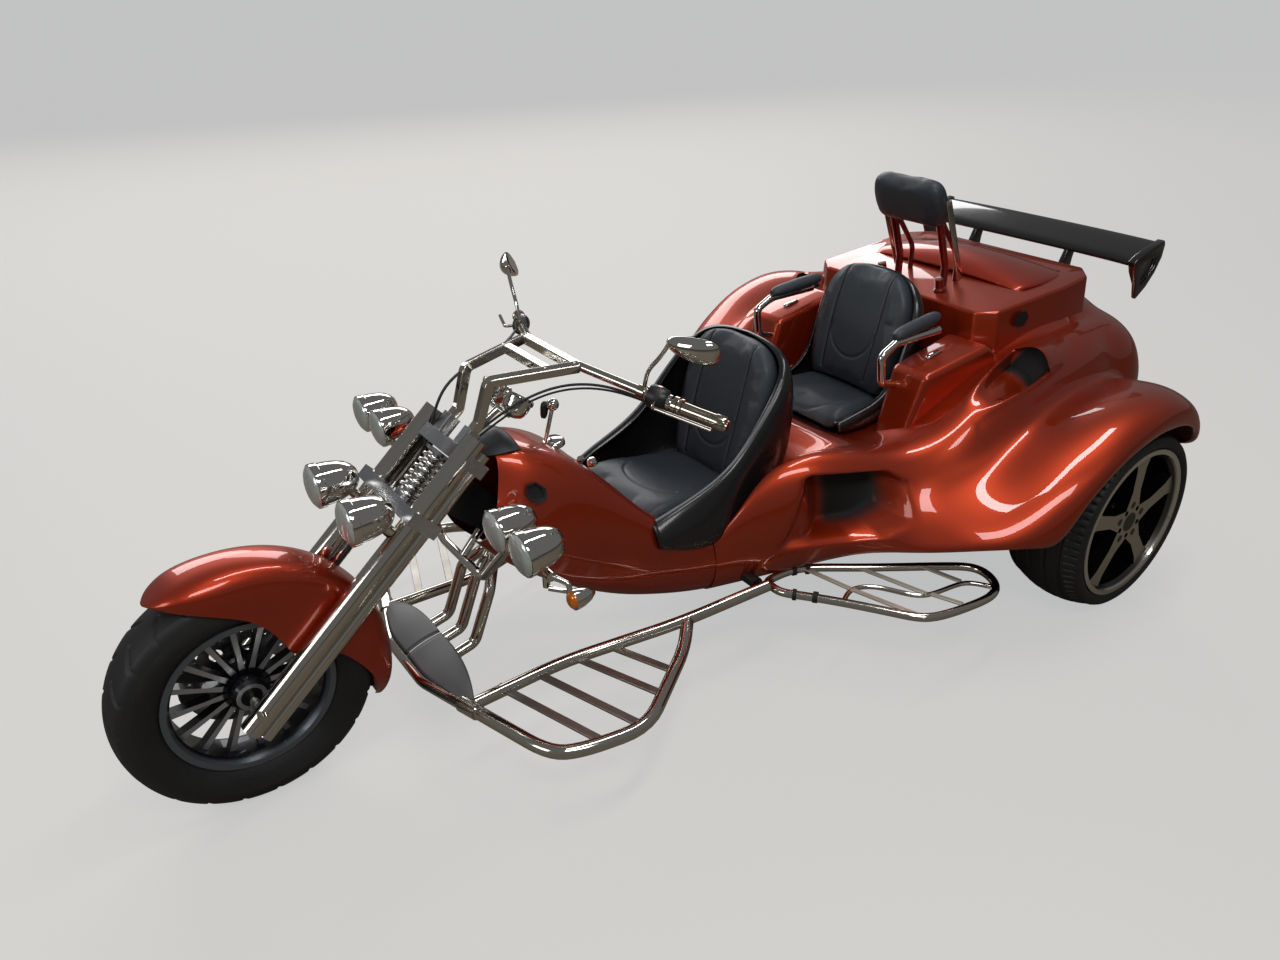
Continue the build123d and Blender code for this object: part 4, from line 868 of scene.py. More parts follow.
def buildConsoles():
    form = consoleSettings
    for side, word in sides.items():
        inner = [(x, side * form["inner"], z) for x, z in form["outline"]]
        # The outer face leans out toward the rear and its lower front corner is drawn in
        outer = []
        for x, z in form["outline"]:
            corner = form["drawnIn"] if z < 0.55 and x > 0.5 else 0.0
            lean = form["lean"] * (form["leanFrom"] - x) / form["leanLength"]
            outer.append((x, side * (form["outer"] + lean - corner), z))
        console = makePiece("console_" + word, inner + outer, prismFaces(len(inner)), "bodyPaint", "chassis")
        soften(editMesh(console, outward), form["round"], segments=5)
        low, high = (side * y for y in form["latchSides"])
        latch = makePiece("console_latch_" + word, *prism(form["latch"], low, high), "chrome", "chassis")
        soften(editMesh(latch, outward), form["latchRound"], segments=3)


blockSettings = {
    "outline": [(.194, .332), (.15, .392), (-.18, .402), (-.318, .392), (-.385, .33)],
    "boot": (-.3, -.066, .3),
    "height": .92, "rise": .03, "riseLength": .494, "frontDrop": .006, "foot": .74, "round": .012,
    "wellHeights": (.938, .672),
    "hole": {"station": .05, "height": .88, "y": .4095, "halfLength": .038, "halfHeight": .028, "lean": .05},
}


def blockHeight(x):
    return blockSettings["height"] + (0.194 - x) / blockSettings["riseLength"] * blockSettings["rise"]


def buildBlock():
    # Ring round the boot: outer wall, top with its opening, and the boot's own dark walls
    form = blockSettings
    outer = form["outline"] + [(x, -y) for x, y in reversed(form["outline"])]
    back, front, half = form["boot"]
    inner = [(front, half), (back, half), (back, -half), (front, -half)]
    loops = [[Vector((x, y, 0)) for x, y in loop] for loop in (outer, inner)]
    vertices = [(x, y, blockHeight(x) - (form["frontDrop"] if x > 0.18 else 0)) for x, y in outer]
    vertices += [(x, y, blockHeight(x)) for x, y in inner]
    vertices += [(x * 1.02 + 0.004 * (x > 0), y * 1.03, form["foot"]) for x, y in outer]
    faces = [tuple(face) for face in geometry.tessellate_polygon(loops)]
    count = len(outer)
    base = count + len(inner)
    faces += [(k, (k + 1) % count, base + (k + 1) % count, base + k) for k in range(count)]
    block = makePiece("raised_block", vertices, faces, "bodyPaint", "chassis")
    soften(editMesh(block, outward), form["round"], 28.0)

    well = [(x, y, z) for z in form["wellHeights"] for x, y in inner]
    wellFaces = [(k, (k + 1) % 4, (k + 1) % 4 + 4, k + 4) for k in range(4)] + [(4, 5, 6, 7)]
    makePiece("boot_well", well, wellFaces, "mattBlack", "chassis", smooth=False)

    # Small six-sided hole in each side of the block, shown as a flat black patch of painted shade
    hole = form["hole"]
    for side, word in sides.items():
        ring = []
        for angle in (math.radians(60 * k) for k in range(6)):
            rise = hole["halfHeight"] * math.sin(angle)
            x = hole["station"] + hole["halfLength"] * math.cos(angle)
            ring.append((x, side * (hole["y"] - hole["lean"] * rise), hole["height"] + rise))
        makePiece("block_hole_shade_" + word, ring, [tuple(range(6))], "holeBlack", "chassis", smooth=False)


lidSettings = {
    # Station, half width, height of the edge, height of the crown
    "rows": [(-.04, .3, .935, .944), (-.06, .322, .945, .972), (-.11, .332, .948, .992),
             (-.18, .334, .95, .994), (-.25, .33, .95, .984), (-.305, .318, .947, .966),
             (-.338, .296, .94, .948)],
    "shares": (0, .25, .5, .75, .92),
    "edgeDrops": (.002, .01),
    "thickness": .006,
}


def buildLid():
    rows = []
    for x, half, edge, crown in lidSettings["rows"]:
        row = [(x, half * t, edge + (crown - edge) * (1 - t * t)) for t in lidSettings["shares"]]
        rows.append(row + [(x, half, edge - drop) for drop in lidSettings["edgeDrops"]])
    lid = bothHalves("lid_skin", splineGrid(rows, 5, 5), "lidPaint", "boot_lid", ("boot_lid",))
    thicken(lid, lidSettings["thickness"])


buildBody()
buildTank()
buildConsoles()
buildBlock()
buildLid()
print("trike: body")


# Padded pieces: a lofted form, blown up a little as cloth, with its seams pressed in afterwards
padLoop = [(0, .5, 0), (.42, .5, 0), (.74, .52, .9), (.93, .44, 1), (1, .1, .6), (.99, -.3, .1),
           (.88, -.5, 0), (.45, -.52, 0), (0, -.52, 0)]


def padLoft(levels, bolster=0.0):
    # Each level: station, height, the front's direction in degrees above forward, half width, thickness
    rows = []
    for x, z, tilt, half, thick in levels:
        lift = (math.cos(math.radians(tilt)), math.sin(math.radians(tilt)))
        halfLoop = []
        for across, depth, raised in padLoop:
            out = depth * thick + raised * bolster * min(half / 0.18, 1.0)
            halfLoop.append((x + lift[0] * out, across * half, z + lift[1] * out))
        rows.append(halfLoop + [(px, -py, pz) for px, py, pz in reversed(halfLoop[1:-1])])
    return closedLoft(rows, 4, 3)


def blowUp(piece, settings):
    # Remesh, cloth with pressure, then hold each point within the cap
    remesh = piece.modifiers.new("even", "REMESH")
    remesh.mode = "VOXEL"
    remesh.voxel_size = settings["voxel"]
    remesh.use_smooth_shade = True
    applyAll(piece)
    before = np.empty(len(piece.data.vertices) * 3)
    piece.data.vertices.foreach_get("co", before)
    cloth = piece.modifiers.new("air", "CLOTH")
    cloth.settings.use_pressure = True
    cloth.settings.uniform_pressure_force = settings["pressure"]
    cloth.settings.effector_weights.gravity = 0.0
    cloth.point_cache.frame_start = 1
    cloth.point_cache.frame_end = settings["frames"]
    for step in range(1, settings["frames"] + 1):
        bpy.context.scene.frame_set(step)
    applyAll(piece)
    bpy.context.scene.frame_set(1)
    after = np.empty_like(before)
    piece.data.vertices.foreach_get("co", after)
    move = (after - before).reshape(-1, 3)
    length = np.linalg.norm(move, axis=1, keepdims=True)
    move *= np.minimum(1.0, settings["cap"] / np.maximum(length, 1e-9))
    piece.data.vertices.foreach_set("co", (before.reshape(-1, 3) + move).ravel())
    smooth = piece.modifiers.new("calm", "SMOOTH")
    smooth.iterations = settings["calm"]
    smooth.factor = 0.5
    finer = piece.modifiers.new("finer", "SUBSURF")
    finer.levels = finer.render_levels = 1
    applyAll(piece)
    for polygon in piece.data.polygons:
        polygon.use_smooth = True


def applyAll(piece):
    depsgraph = bpy.context.evaluated_depsgraph_get()
    depsgraph.update()
    mesh = bpy.data.meshes.new_from_object(piece.evaluated_get(depsgraph), depsgraph=depsgraph)
    old = piece.data
    piece.modifiers.clear()
    piece.data = mesh
    bpy.data.meshes.remove(old)
    mesh.name = piece.name


def pressSeams(piece, seams, direction, depth, width):
    # Pushes points near a seam inwards, along the direction. Each seam is a list of points.
    count = len(piece.data.vertices)
    points = np.empty(count * 3)
    piece.data.vertices.foreach_get("co", points)
    points = points.reshape(-1, 3)
    distance = np.full(count, 1e9)
    push = np.array(direction)
    flat = points - np.outer(points @ push, push)
    for seam in seams:
        line = np.array(seam)
        line = line - np.outer(line @ push, push)
        for a, b in zip(line[:-1], line[1:]):
            along = b - a
            t = np.clip((flat - a) @ along / (along @ along), 0.0, 1.0)
            distance = np.minimum(distance, np.linalg.norm(flat - a - np.outer(t, along), axis=1))
    normals = np.empty(count * 3)
    piece.data.vertices.foreach_get("normal", normals)
    facing = smoothStep(0.1, 0.5, normals.reshape(-1, 3) @ push)
    dent = depth * np.exp(-(distance / width) ** 2) * facing
    points -= np.outer(dent, push)
    piece.data.vertices.foreach_set("co", points.ravel())


def padPiece(name, form, settings, replaced):
    pad = makePiece(name, *form, "seatHide", "chassis", replaced)
    editMesh(pad, outward)
    blowUp(pad, settings)
    return pad


def thread(name, piece, seams, direction, radius):
    # A fine cord laid in each seam, on the pad's surface
    tree = bvhtree.BVHTree.FromObject(piece, bpy.context.evaluated_depsgraph_get())
    curve = bpy.data.curves.new(name, "CURVE")
    curve.dimensions = "3D"
    curve.bevel_depth = radius
    curve.bevel_resolution = 1
    push = Vector(direction)
    for seam in seams:
        laid = []
        for a, b in zip(seam[:-1], seam[1:]):
            for step in range(6):
                spot = Vector(a).lerp(Vector(b), step / 6)
                hit = tree.ray_cast(spot + push * 0.12, -push)[0]
                if hit is not None:
                    laid.append(hit)
        if len(laid) > 2:
            spline = curve.splines.new("POLY")
            spline.points.add(len(laid) - 1)
            for point, hit in zip(spline.points, laid):
                point.co = (*hit, 1.0)
    curve.materials.append(paints["seamThread"])
    cord = bpy.data.objects.new(name, curve)
    bpy.context.scene.collection.objects.link(cord)
    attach(cord, "chassis")


def tubeAlong(name, points, radius, paint, body, closed=False, resolution=6, smooth=True, sides=4,
              replaced=()):
    curve = bpy.data.curves.new(name, "CURVE")
    curve.dimensions = "3D"
    curve.bevel_depth = radius
    curve.bevel_resolution = sides
    curve.resolution_u = resolution
    curve.use_fill_caps = not closed
    spline = curve.splines.new("NURBS" if smooth else "POLY")
    spline.points.add(len(points) - 1)
    for point, place in zip(spline.points, points):
        point.co = (place[0] + rearAxle, place[1], place[2], 1.0)
    spline.use_cyclic_u = closed
    if smooth:
        spline.use_endpoint_u = not closed
        spline.order_u = 4
    curve.materials.append(paints[paint])
    tube = bpy.data.objects.new(name, curve)
    bpy.context.scene.collection.objects.link(tube)
    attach(tube, body)
    if replaced:
        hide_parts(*replaced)
    return tube


def backSeams(back):
    # Two long seams and the rounded one between them, as points on the line from base to top
    base, top, half = back["base"], back["top"], back["seamHalf"]

    def spot(share, y):
        return (base[0] + (top[0] - base[0]) * share + rearAxle, y, base[1] + (top[1] - base[1]) * share)

    seams = []
    for side in sides:
        shares = np.linspace(0, 1, 12)
        seams.append([spot(0.02 + t * 0.95, side * (half + 0.006 * math.sin(math.pi * t))) for t in shares])
    arc = []
    for angle in np.linspace(0, math.pi, 13):
        share = back["high"] - (back["high"] - back["low"]) * math.sin(angle)
        arc.append(spot(share, half * 0.985 * math.cos(angle)))
    return seams, arc


seatSettings = {
    # Base and top give the line of the seams; low and high are the shares of it where the round seam turns
    "driver": {
        "replaced": "driver_seat",
        "back": [(1.01, .462, 15, .165, .045), (1, .49, 15, .18, .06), (.974, .585, 15, .196, .066),
                 (.945, .695, 15, .206, .066), (.917, .795, 15, .203, .062), (.899, .862, 15, .176, .056),
                 (.889, .897, 15, .125, .044), (.886, .907, 15, .06, .024)],
        "base": (1, .48), "top": (.886, .905), "seamHalf": .098, "low": .17, "high": .4,
        "bolster": .016,
        "cushion": [(.975, .452, 90, .165, .04), (1.01, .446, 90, .19, .056),
                    (1.1, .448, 90, .208, .064), (1.22, .466, 90, .212, .068),
                    (1.32, .482, 88, .208, .068), (1.372, .484, 70, .2, .062),
                    (1.394, .468, 40, .19, .046), (1.398, .444, 15, .17, .026)],
        "cushionSeam": 1.235},
    "passenger": {
        "replaced": "passenger_seat",
        "back": [(.402, .612, 15, .165, .05), (.39, .645, 15, .182, .07), (.366, .735, 15, .196, .076),
                 (.34, .83, 15, .202, .078), (.316, .915, 15, .192, .072), (.3, .972, 15, .16, .062),
                 (.292, 1.003, 15, .112, .046), (.289, 1.012, 15, .055, .024)],
        "base": (.39, .64), "top": (.29, 1.012), "seamHalf": .096, "low": .17, "high": .42,
        "bolster": .01,
        "cushion": [(.365, .575, 90, .15, .05), (.395, .572, 90, .176, .07),
                    (.45, .572, 90, .19, .078), (.52, .575, 88, .192, .078),
                    (.58, .58, 78, .188, .072), (.612, .575, 55, .18, .058),
                    (.624, .556, 20, .165, .036)],
        "cushionSeam": .55},
    "tilt": 15, "cushionBolster": .004, "fill": .85,
    "seamDepth": .0055, "roundSeamDepth": .0035, "seamWidth": .005, "threadRadius": .002,
    "air": {"voxel": .0067, "pressure": 4, "cap": .008, "calm": 4, "frames": 20},
}


def buildSeats():
    form = seatSettings
    front = (math.cos(math.radians(form["tilt"])), 0.0, math.sin(math.radians(form["tilt"])))
    for who in ("driver", "passenger"):
        seat = form[who]
        loft = padLoft(seat["back"], seat["bolster"])
        pad = padPiece(who + "_back", loft, form["air"], (seat["replaced"],))
        seams, arc = backSeams(seat)
        pressSeams(pad, seams, front, form["seamDepth"], form["seamWidth"])
        pressSeams(pad, [arc], front, form["roundSeamDepth"], form["seamWidth"])
        thread(who + "_back_seams", pad, seams, front, form["threadRadius"])
        loft = padLoft(seat["cushion"], form["cushionBolster"])
        cushion = padPiece(who + "_cushion", loft, form["air"], ())
        bow = []
        for angle in np.linspace(-1.45, 1.45, 13):
            x = seat["cushionSeam"] + 0.075 * math.cos(angle) + rearAxle
            bow.append((x, 0.125 * math.sin(angle), 0.5))
        pressSeams(cushion, [bow], (0.0, 0.0, 1.0), form["roundSeamDepth"], form["seamWidth"])


shellRows = [
    [(1.404, .205, .5), (1.408, .222, .508), (1.41, .246, .492), (1.408, .268, .462), (1.404, .264, .426),
     (1.396, .15, .422), (1.392, 0, .42)],
    [(1.315, .222, .532), (1.317, .24, .545), (1.315, .264, .526), (1.311, .292, .455), (1.305, .29, .384),
     (1.298, .16, .38), (1.296, 0, .378)],
    [(1.195, .226, .566), (1.197, .246, .582), (1.192, .27, .558), (1.186, .298, .465), (1.18, .294, .362),
     (1.177, .16, .36), (1.176, 0, .358)],
    [(1.102, .228, .622), (1.104, .248, .64), (1.094, .268, .61), (1.072, .27, .5), (1.052, .262, .4),
     (1.041, .14, .378), (1.04, 0, .376)],
    [(1.04, .228, .696), (1.04, .246, .712), (1.024, .268, .684), (.99, .268, .56), (.945, .238, .432),
     (.925, .12, .387), (.925, 0, .385)],
    [(.985, .224, .76), (.982, .24, .774), (.96, .262, .754), (.924, .26, .66), (.886, .232, .53),
     (.872, .12, .457), (.87, 0, .452)],
    [(.936, .216, .816), (.93, .23, .828), (.908, .248, .812), (.884, .244, .74), (.862, .218, .64),
     (.852, .12, .58), (.85, 0, .575)],
    [(.9, .192, .862), (.89, .203, .872), (.872, .216, .86), (.856, .212, .8), (.844, .186, .73),
     (.838, .11, .7), (.836, 0, .695)],
    [(.88, .128, .893), (.87, .132, .9), (.854, .14, .892), (.842, .14, .86), (.834, .122, .82),
     (.831, .07, .8), (.83, 0, .8)],
    [(.872, .04, .903), (.862, .042, .906), (.848, .046, .898), (.838, .048, .878), (.832, .044, .86),
     (.83, .026, .85), (.83, 0, .85)],
    [(.87, 0, .904), (.861, 0, .907), (.847, 0, .899), (.838, 0, .88), (.832, 0, .862), (.83, 0, .852),
     (.83, 0, .85)],
]


passengerShell = [
    [(.628, .165, .585), (.632, .182, .588), (.63, .194, .575), (.625, .192, .555), (.618, .175, .535),
     (.612, .1, .53), (.61, 0, .53)],
    [(.56, .182, .606), (.56, .198, .61), (.558, .212, .595), (.554, .212, .565), (.548, .192, .532),
     (.545, .1, .528), (.545, 0, .528)],
    [(.46, .188, .625), (.46, .204, .63), (.455, .22, .612), (.45, .22, .575), (.445, .196, .532),
     (.443, .1, .528), (.443, 0, .528)],
    [(.402, .19, .68), (.4, .206, .685), (.385, .224, .66), (.365, .224, .61), (.345, .198, .555),
     (.335, .1, .535), (.335, 0, .535)],
    [(.375, .198, .76), (.37, .213, .764), (.35, .23, .748), (.325, .228, .7), (.302, .2, .65),
     (.295, .1, .64), (.294, 0, .64)],
    [(.342, .203, .85), (.336, .216, .853), (.316, .23, .84), (.296, .226, .8), (.278, .196, .765),
     (.272, .1, .758), (.271, 0, .758)],
    [(.314, .188, .93), (.306, .2, .934), (.288, .21, .922), (.272, .206, .89), (.258, .18, .86),
     (.254, .09, .852), (.253, 0, .852)],
    [(.294, .14, .985), (.285, .148, .99), (.27, .155, .98), (.258, .153, .955), (.249, .132, .93),
     (.246, .07, .922), (.245, 0, .922)],
    [(.284, .06, 1.004), (.276, .063, 1.006), (.264, .066, .998), (.254, .066, .982), (.247, .056, .965),
     (.245, .03, .958), (.245, 0, .958)],
    [(.282, 0, 1.005), (.275, 0, 1.007), (.263, 0, .999), (.254, 0, .984), (.247, 0, .967), (.245, 0, .96),
     (.245, 0, .958)],
]


def buildShell(name, rows):
    surface = splineGrid(rows, 6, 5)
    thicken(bothHalves(name, surface, "seatShell", "chassis"), 0.006)
    return surface


def buildShells():
    # The piping follows the top of the driver's shell
    edge = buildShell("driver_shell", shellRows)[:, 5]
    for side, word in sides.items():
        line = [(x, side * y, z + 0.001) for x, y, z in edge[1:38:3]]
        tubeAlong("driver_piping_" + word, line, 0.0042, "pipingGrey", "chassis")
    buildShell("passenger_shell", passengerShell)


restSettings = {
    # Share of the height, share of the half width, share of the thickness
    "rows": [(-.5, .3, .3), (-.46, .4, .62), (-.36, .47, .86), (-.12, .492, .96),
             (.14, .492, .96), (.36, .468, .84), (.46, .4, .6), (.5, .3, .28)],
    "height": .97, "lean": .3, "tilt": -16, "thickness": .072, "cap": .005,
}


armrestSettings = {
    # Share of the length, half width, half height
    "rows": [(0, .01, .01), (.03, .02, .018), (.12, .0265, .024), (.5, .0275, .026),
             (.88, .0265, .024), (.97, .02, .018), (1, .01, .01)],
    "rear": .292, "front": .512, "y": .27, "spread": .014, "height": .906, "fall": .02, "flatter": .75,
    "voxel": .004, "cap": .003, "fill": .9,
}


def buildSoftRest():
    low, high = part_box("headrest")
    middle, size = (low + high) / 2, high - low
    levels = []
    for share, half, thick in restSettings["rows"]:
        x = middle.x - rearAxle + share * size.z * restSettings["lean"]
        z = middle.z + share * size.z * restSettings["height"]
        levels.append((x, z, restSettings["tilt"], half * size.y, thick * restSettings["thickness"]))
    air = dict(seatSettings["air"], cap=restSettings["cap"])
    padPiece("headrest_pad", padLoft(levels), air, ("headrest",))


def buildArmrests():
    form = armrestSettings
    air = dict(seatSettings["air"], voxel=form["voxel"], cap=form["cap"])
    for side, word in sides.items():
        rows = []
        for share, half, rise in form["rows"]:
            x = form["rear"] + (form["front"] - form["rear"]) * share
            y = side * (form["y"] + form["spread"] * share)
            z = form["height"] - form["fall"] * share
            ring = []
            for angle in np.linspace(0, 2 * math.pi, 10, endpoint=False):
                up = math.sin(angle) * (1.0 if math.sin(angle) > 0 else form["flatter"])
                ring.append((x, y + half * math.cos(angle), z + rise * up))
            rows.append(ring)
        padPiece("armrest_" + word, closedLoft(rows, 4, 3), air, ("armrests",) if side > 0 else ())


buildSeats()
buildShells()
buildSoftRest()
buildArmrests()
print("trike: seats")


# Turned pieces: a profile of (distance along the axis, radius) from a start point
def turned(name, start, direction, profile, paint, body, replaced=(), sides=40, squash=(1.0, 1.0)):
    axis = Vector(direction).normalized()
    across = axis.orthogonal() if abs(axis.y) > 0.9 else axis.cross(Vector((0, 1, 0)))
    across.normalize()
    other = axis.cross(across)
    vertices = []
    for along, radius in profile:
        for k in range(sides):
            angle = 2 * math.pi * k / sides
            wide, tall = radius * squash[0] * math.cos(angle), radius * squash[1] * math.sin(angle)
            vertices.append(Vector(start) + axis * along + across * wide + other * tall)
    piece = makePiece(name, vertices, gridFaces(len(profile), sides, closedColumns=True), paint, body,
                      replaced)
    return editMesh(piece, joined, outward, sharpAbove(42.0))


def rod(radius, length):
    return [(0.0, 0.0), (0.0, radius), (length, radius), (length, 0.0)]


forkSettings = {"rake": 49, "axle": (2.53, .326)}


def forkSpot(ahead, y, up):
    # A place on the fork, from the front axle: ahead, across the fork's line, and up along it
    x, z = forkSettings["axle"]
    lean, rise = math.sin(math.radians(forkSettings["rake"])), math.cos(math.radians(forkSettings["rake"]))
    return (x + ahead * rise - up * lean, y, z + ahead * lean + up * rise)


def dome(radius, height, start=0.0, count=6):
    return [(start + height * math.sin(a), radius * math.cos(a)) for a in np.linspace(0, math.pi / 2, count)]


def merge(name, paint, body, pieces, replaced=()):
    # Several looks of one paint as one piece
    vertices, faces = [], []
    for piece in pieces:
        base = len(vertices)
        vertices += [(v.co.x - rearAxle, v.co.y, v.co.z) for v in piece.data.vertices]
        faces += [tuple(base + k for k in polygon.vertices) for polygon in piece.data.polygons]
        bpy.data.objects.remove(piece)
    whole = makePiece(name, vertices, faces, paint, body, replaced)
    return editMesh(whole, outward, sharpAbove(42.0))


lampSettings = {
    # Distance behind the rim and radius, as shares of the lamp's radius
    "shell": [(-1.98, 0), (-1.97, .16), (-1.9, .36), (-1.74, .56), (-1.5, .73), (-1.15, .85), (-.7, .93),
              (-.36, .955), (-.3, .96), (-.27, 1), (-.02, 1.015), (.04, 1), (.05, .95), (0, .93)],
    "glassShare": .955, "glassLift": .001,
    "head": {"front": 2.234, "y": .118, "z": .755, "radius": .06, "glass": .018,
             "stemUp": .545, "stemAhead": .015, "stemY": .12, "stemRadius": .013, "stemLength": .1,
             "stemBehind": .06},
    "spot": {"front": 1.96, "ys": (.49, .362), "z": .75, "radius": .056, "glass": .017,
             "direction": (1, 0, -.06), "stemX": 1.902, "stemZ": .64, "stemRadius": .009,
             "stemLength": .062},
    "indicator": {"tip": (1.868, .55, .62), "lens": (.0225, .012),
                  "shell": [(-.062, 0), (-.06, .006), (-.046, .016), (-.026, .023), (-.008, .026),
                            (0, .026), (0, .022)],
                  "arm": (1.905, .505, .645), "reach": (-.067, .045, -.02),
                  "armProfile": [(0, .007), (.06, .006)]},
}


def lampShell(start, direction, radius, body):
    profile = [(distance * radius, share * radius) for distance, share in lampSettings["shell"]]
    return turned("shell", start, direction, profile, "chrome", body)


def lampGlass(start, direction, radius, height, body):
    profile = dome(radius * lampSettings["glassShare"], height, lampSettings["glassLift"])
    return turned("glass", start, direction, profile, "clearLens", body)


def buildLamps():
    shells, glasses, spots, spotGlasses, stems = [], [], [], [], []
    head, spot, indicator = lampSettings["head"], lampSettings["spot"], lampSettings["indicator"]
    ahead = (1, 0, 0)
    for side, word in sides.items():
        start = Vector((head["front"], side * head["y"], head["z"]))
        foot = Vector(forkSpot(head["stemAhead"], side * head["stemY"], head["stemUp"]))
        stem = rod(head["stemRadius"], head["stemLength"])
        shells.append(lampShell(start, ahead, head["radius"], "fork"))
        glasses.append(lampGlass(start, ahead, head["radius"], head["glass"], "fork"))
        toShell = start - Vector((head["stemBehind"], 0, 0)) - foot
        shells.append(turned("stem", foot, toShell, stem, "chrome", "fork", sides=16))
        for y in spot["ys"]:
            start = (spot["front"], side * y, spot["z"])
            foot = (spot["stemX"], side * y, spot["stemZ"])
            stem = rod(spot["stemRadius"], spot["stemLength"])
            spots.append(lampShell(start, spot["direction"], spot["radius"], "chassis"))
            spotGlasses.append(lampGlass(start, spot["direction"], spot["radius"], spot["glass"], "chassis"))
            spots.append(turned("stem", foot, (0, 0, 1), stem, "chrome", "chassis", sides=14))
        tip, arm, reach = ((x, side * y, z) for x, y, z in (indicator[k] for k in ("tip", "arm", "reach")))
        stems.append(turned("shell", tip, ahead, indicator["shell"], "chrome", "chassis", sides=24))
        turned("amber_" + word, tip, ahead, dome(*indicator["lens"]), "amberLens", "chassis", sides=24)
        stems.append(turned("arm", arm, reach, indicator["armProfile"], "chrome", "chassis", sides=12))
    merge("headlamp_shells", "chrome", "fork", shells, ("headlamps",))
    merge("headlamp_glass", "clearLens", "fork", glasses)
    merge("spot_shells", "chrome", "chassis", spots, ("driving_lamps",))
    merge("spot_glass", "clearLens", "chassis", spotGlasses)
    merge("indicator_shells", "chrome", "chassis", stems, ("indicators",))


fenderSettings = {
    # Angles about the axle in degrees, from straight ahead over the top to the rear
    "angles": (62, 63, 65, 69, 74, 81, 88, 96, 104, 112, 120, 128, 136, 144, 152, 160, 169, 178, 187, 195,
               202, 207, 209),
    "crest": .38, "frontDrop": .012, "rearDrop": .01,
    "edgeRadius": ([60, 64, 68, 76, 86, 96, 109, 124, 138, 150, 160, 182, 195, 205, 210],
                   [.372, .362, .342, .305, .27, .246, .21, .172, .15, .168, .215, .275, .322, .35, .362]),
    "halfWidth": ([60, 62, 64, 67, 73, 82, 140, 180, 195, 203, 207, 210],
                  [0, .008, .038, .062, .081, .0905, .0905, .0905, .086, .062, .04, .008]),
    # Share of the half width, share of the drop to the edge, and the most it may fall
    "section": [(0, 0, 1), (.36, .012, .002), (.68, .085, .01), (.9, .26, .03),
                (.99, .45, .07), (1, .72, 1), (1, 1, 1)],
    "thickness": .004, "round": .0015,
}


def buildFender():
    form = fenderSettings
    x, z = forkSettings["axle"]
    rows = []
    for angle in form["angles"]:
        inner = float(np.interp(angle, *form["edgeRadius"]))
        half = float(np.interp(angle, *form["halfWidth"]))
        drawnIn = form["frontDrop"] * (1 - smoothStep(60, 76, angle))
        crest = form["crest"] - drawnIn - form["rearDrop"] * smoothStep(190, 210, angle)
        drop = max(crest - inner, 0.004)
        forward, up = math.cos(math.radians(angle)), math.sin(math.radians(angle))
        row = []
        for across, fall, most in form["section"]:
            radius = crest - min(drop * fall, most)
            row.append((x + radius * forward, half * across, z + radius * up))
        rows.append(row)
    fender = bothHalves("fender_skin", splineGrid(rows, 6, 7), "fenderPaint", "fork", ("front_fender",))
    soften(thicken(fender, form["thickness"]), form["round"], 50.0, 2)


barSettings = {
    # Profiles of (distance from the start, radius), and start and end on the left side
    "grip": [(-.006, 0), (-.006, .024), (.006, .0245), (.007, .0205), (.012, .0205), (.013, .0235),
             (.019, .0235), (.021, .0175), (.06, .017), (.112, .018), (.113, .02), (.134, .0205),
             (.14, .019), (.143, .012), (.144, 0)],
    "gripLine": ((1.4475, .398, .9505), (1.386, .532, .926)),
    "house": [(0, 0), (0, .018), (.003, .023), (.014, .026), (.034, .026), (.05, .024),
              (.056, .02), (.057, 0)],
    "houseLine": ((1.486, .33, .9705), (1.456, .38, .956)),
    "key": [(0, 0), (0, .0085), (.0045, .0075), (.0055, 0)],
    "keyLift": (-.006, 0, .0265), "keyDirection": (-.15, 0, 1),
    # Clamp ring where the mirror's stem stands
    "ring": [(0, .0135), (0, .0175), (.02, .0175), (.02, .0135)],
    "ringStart": (1.497, .306, .9745), "ringDirection": (-.085, .192, -.036),
}


def buildBars():
    form = barSettings
    chromes, blacks, reds = [], [], []
    for side in sides:
        start, end = (onSide(place, side) for place in form["gripLine"])
        chromes.append(turned("grip", start, end - start, form["grip"], "chrome", "fork", sides=32))
        start, end = (onSide(place, side) for place in form["houseLine"])
        blacks.append(turned("house", start, end - start, form["house"], "satinBlack", "fork",
                             sides=28, squash=(1.18, 1.0)))
        middle = (start + end) / 2 + Vector(form["keyLift"])
        reds.append(turned("key", middle, form["keyDirection"], form["key"], "redLens", "fork",
                           sides=20, squash=(0.7, 1.2)))
        start, along = onSide(form["ringStart"], side), onSide(form["ringDirection"], side)
        chromes.append(turned("ring", start, along, form["ring"], "chrome", "fork", sides=24))
    merge("grip_sleeves", "gripChrome", "fork", chromes, ("grips",))
    merge("switch_housings", "satinBlack", "fork", blacks)
    merge("switch_keys", "redLens", "fork", reds)


mirrorSettings = {
    # Long axis from the stem's end to the round end, and the side that faces back, on the left
    "start": (1.477, .402, 1.132), "end": (1.4, .51, 1.108), "facing": (-.93, .1, .22),
    # Share of the length, half height, depth of the back
    "rows": [(0, .005, .006), (.04, .014, .016), (.18, .026, .028), (.42, .036, .034),
             (.68, .042, .034), (.86, .041, .028), (.96, .03, .018), (1, .011, .006)],
    "frontDepth": .006,
    "pane": {"middle": .54, "half": .37, "halfHeight": .033, "egg": .22, "lift": .0066},
    "stem": [(1.491, .322, .985), (1.492, .33, 1.015), (1.49, .34, 1.04), (1.486, .36, 1.062),
             (1.48, .385, 1.09), (1.475, .406, 1.124)],
    "stemRadius": .0055,
}


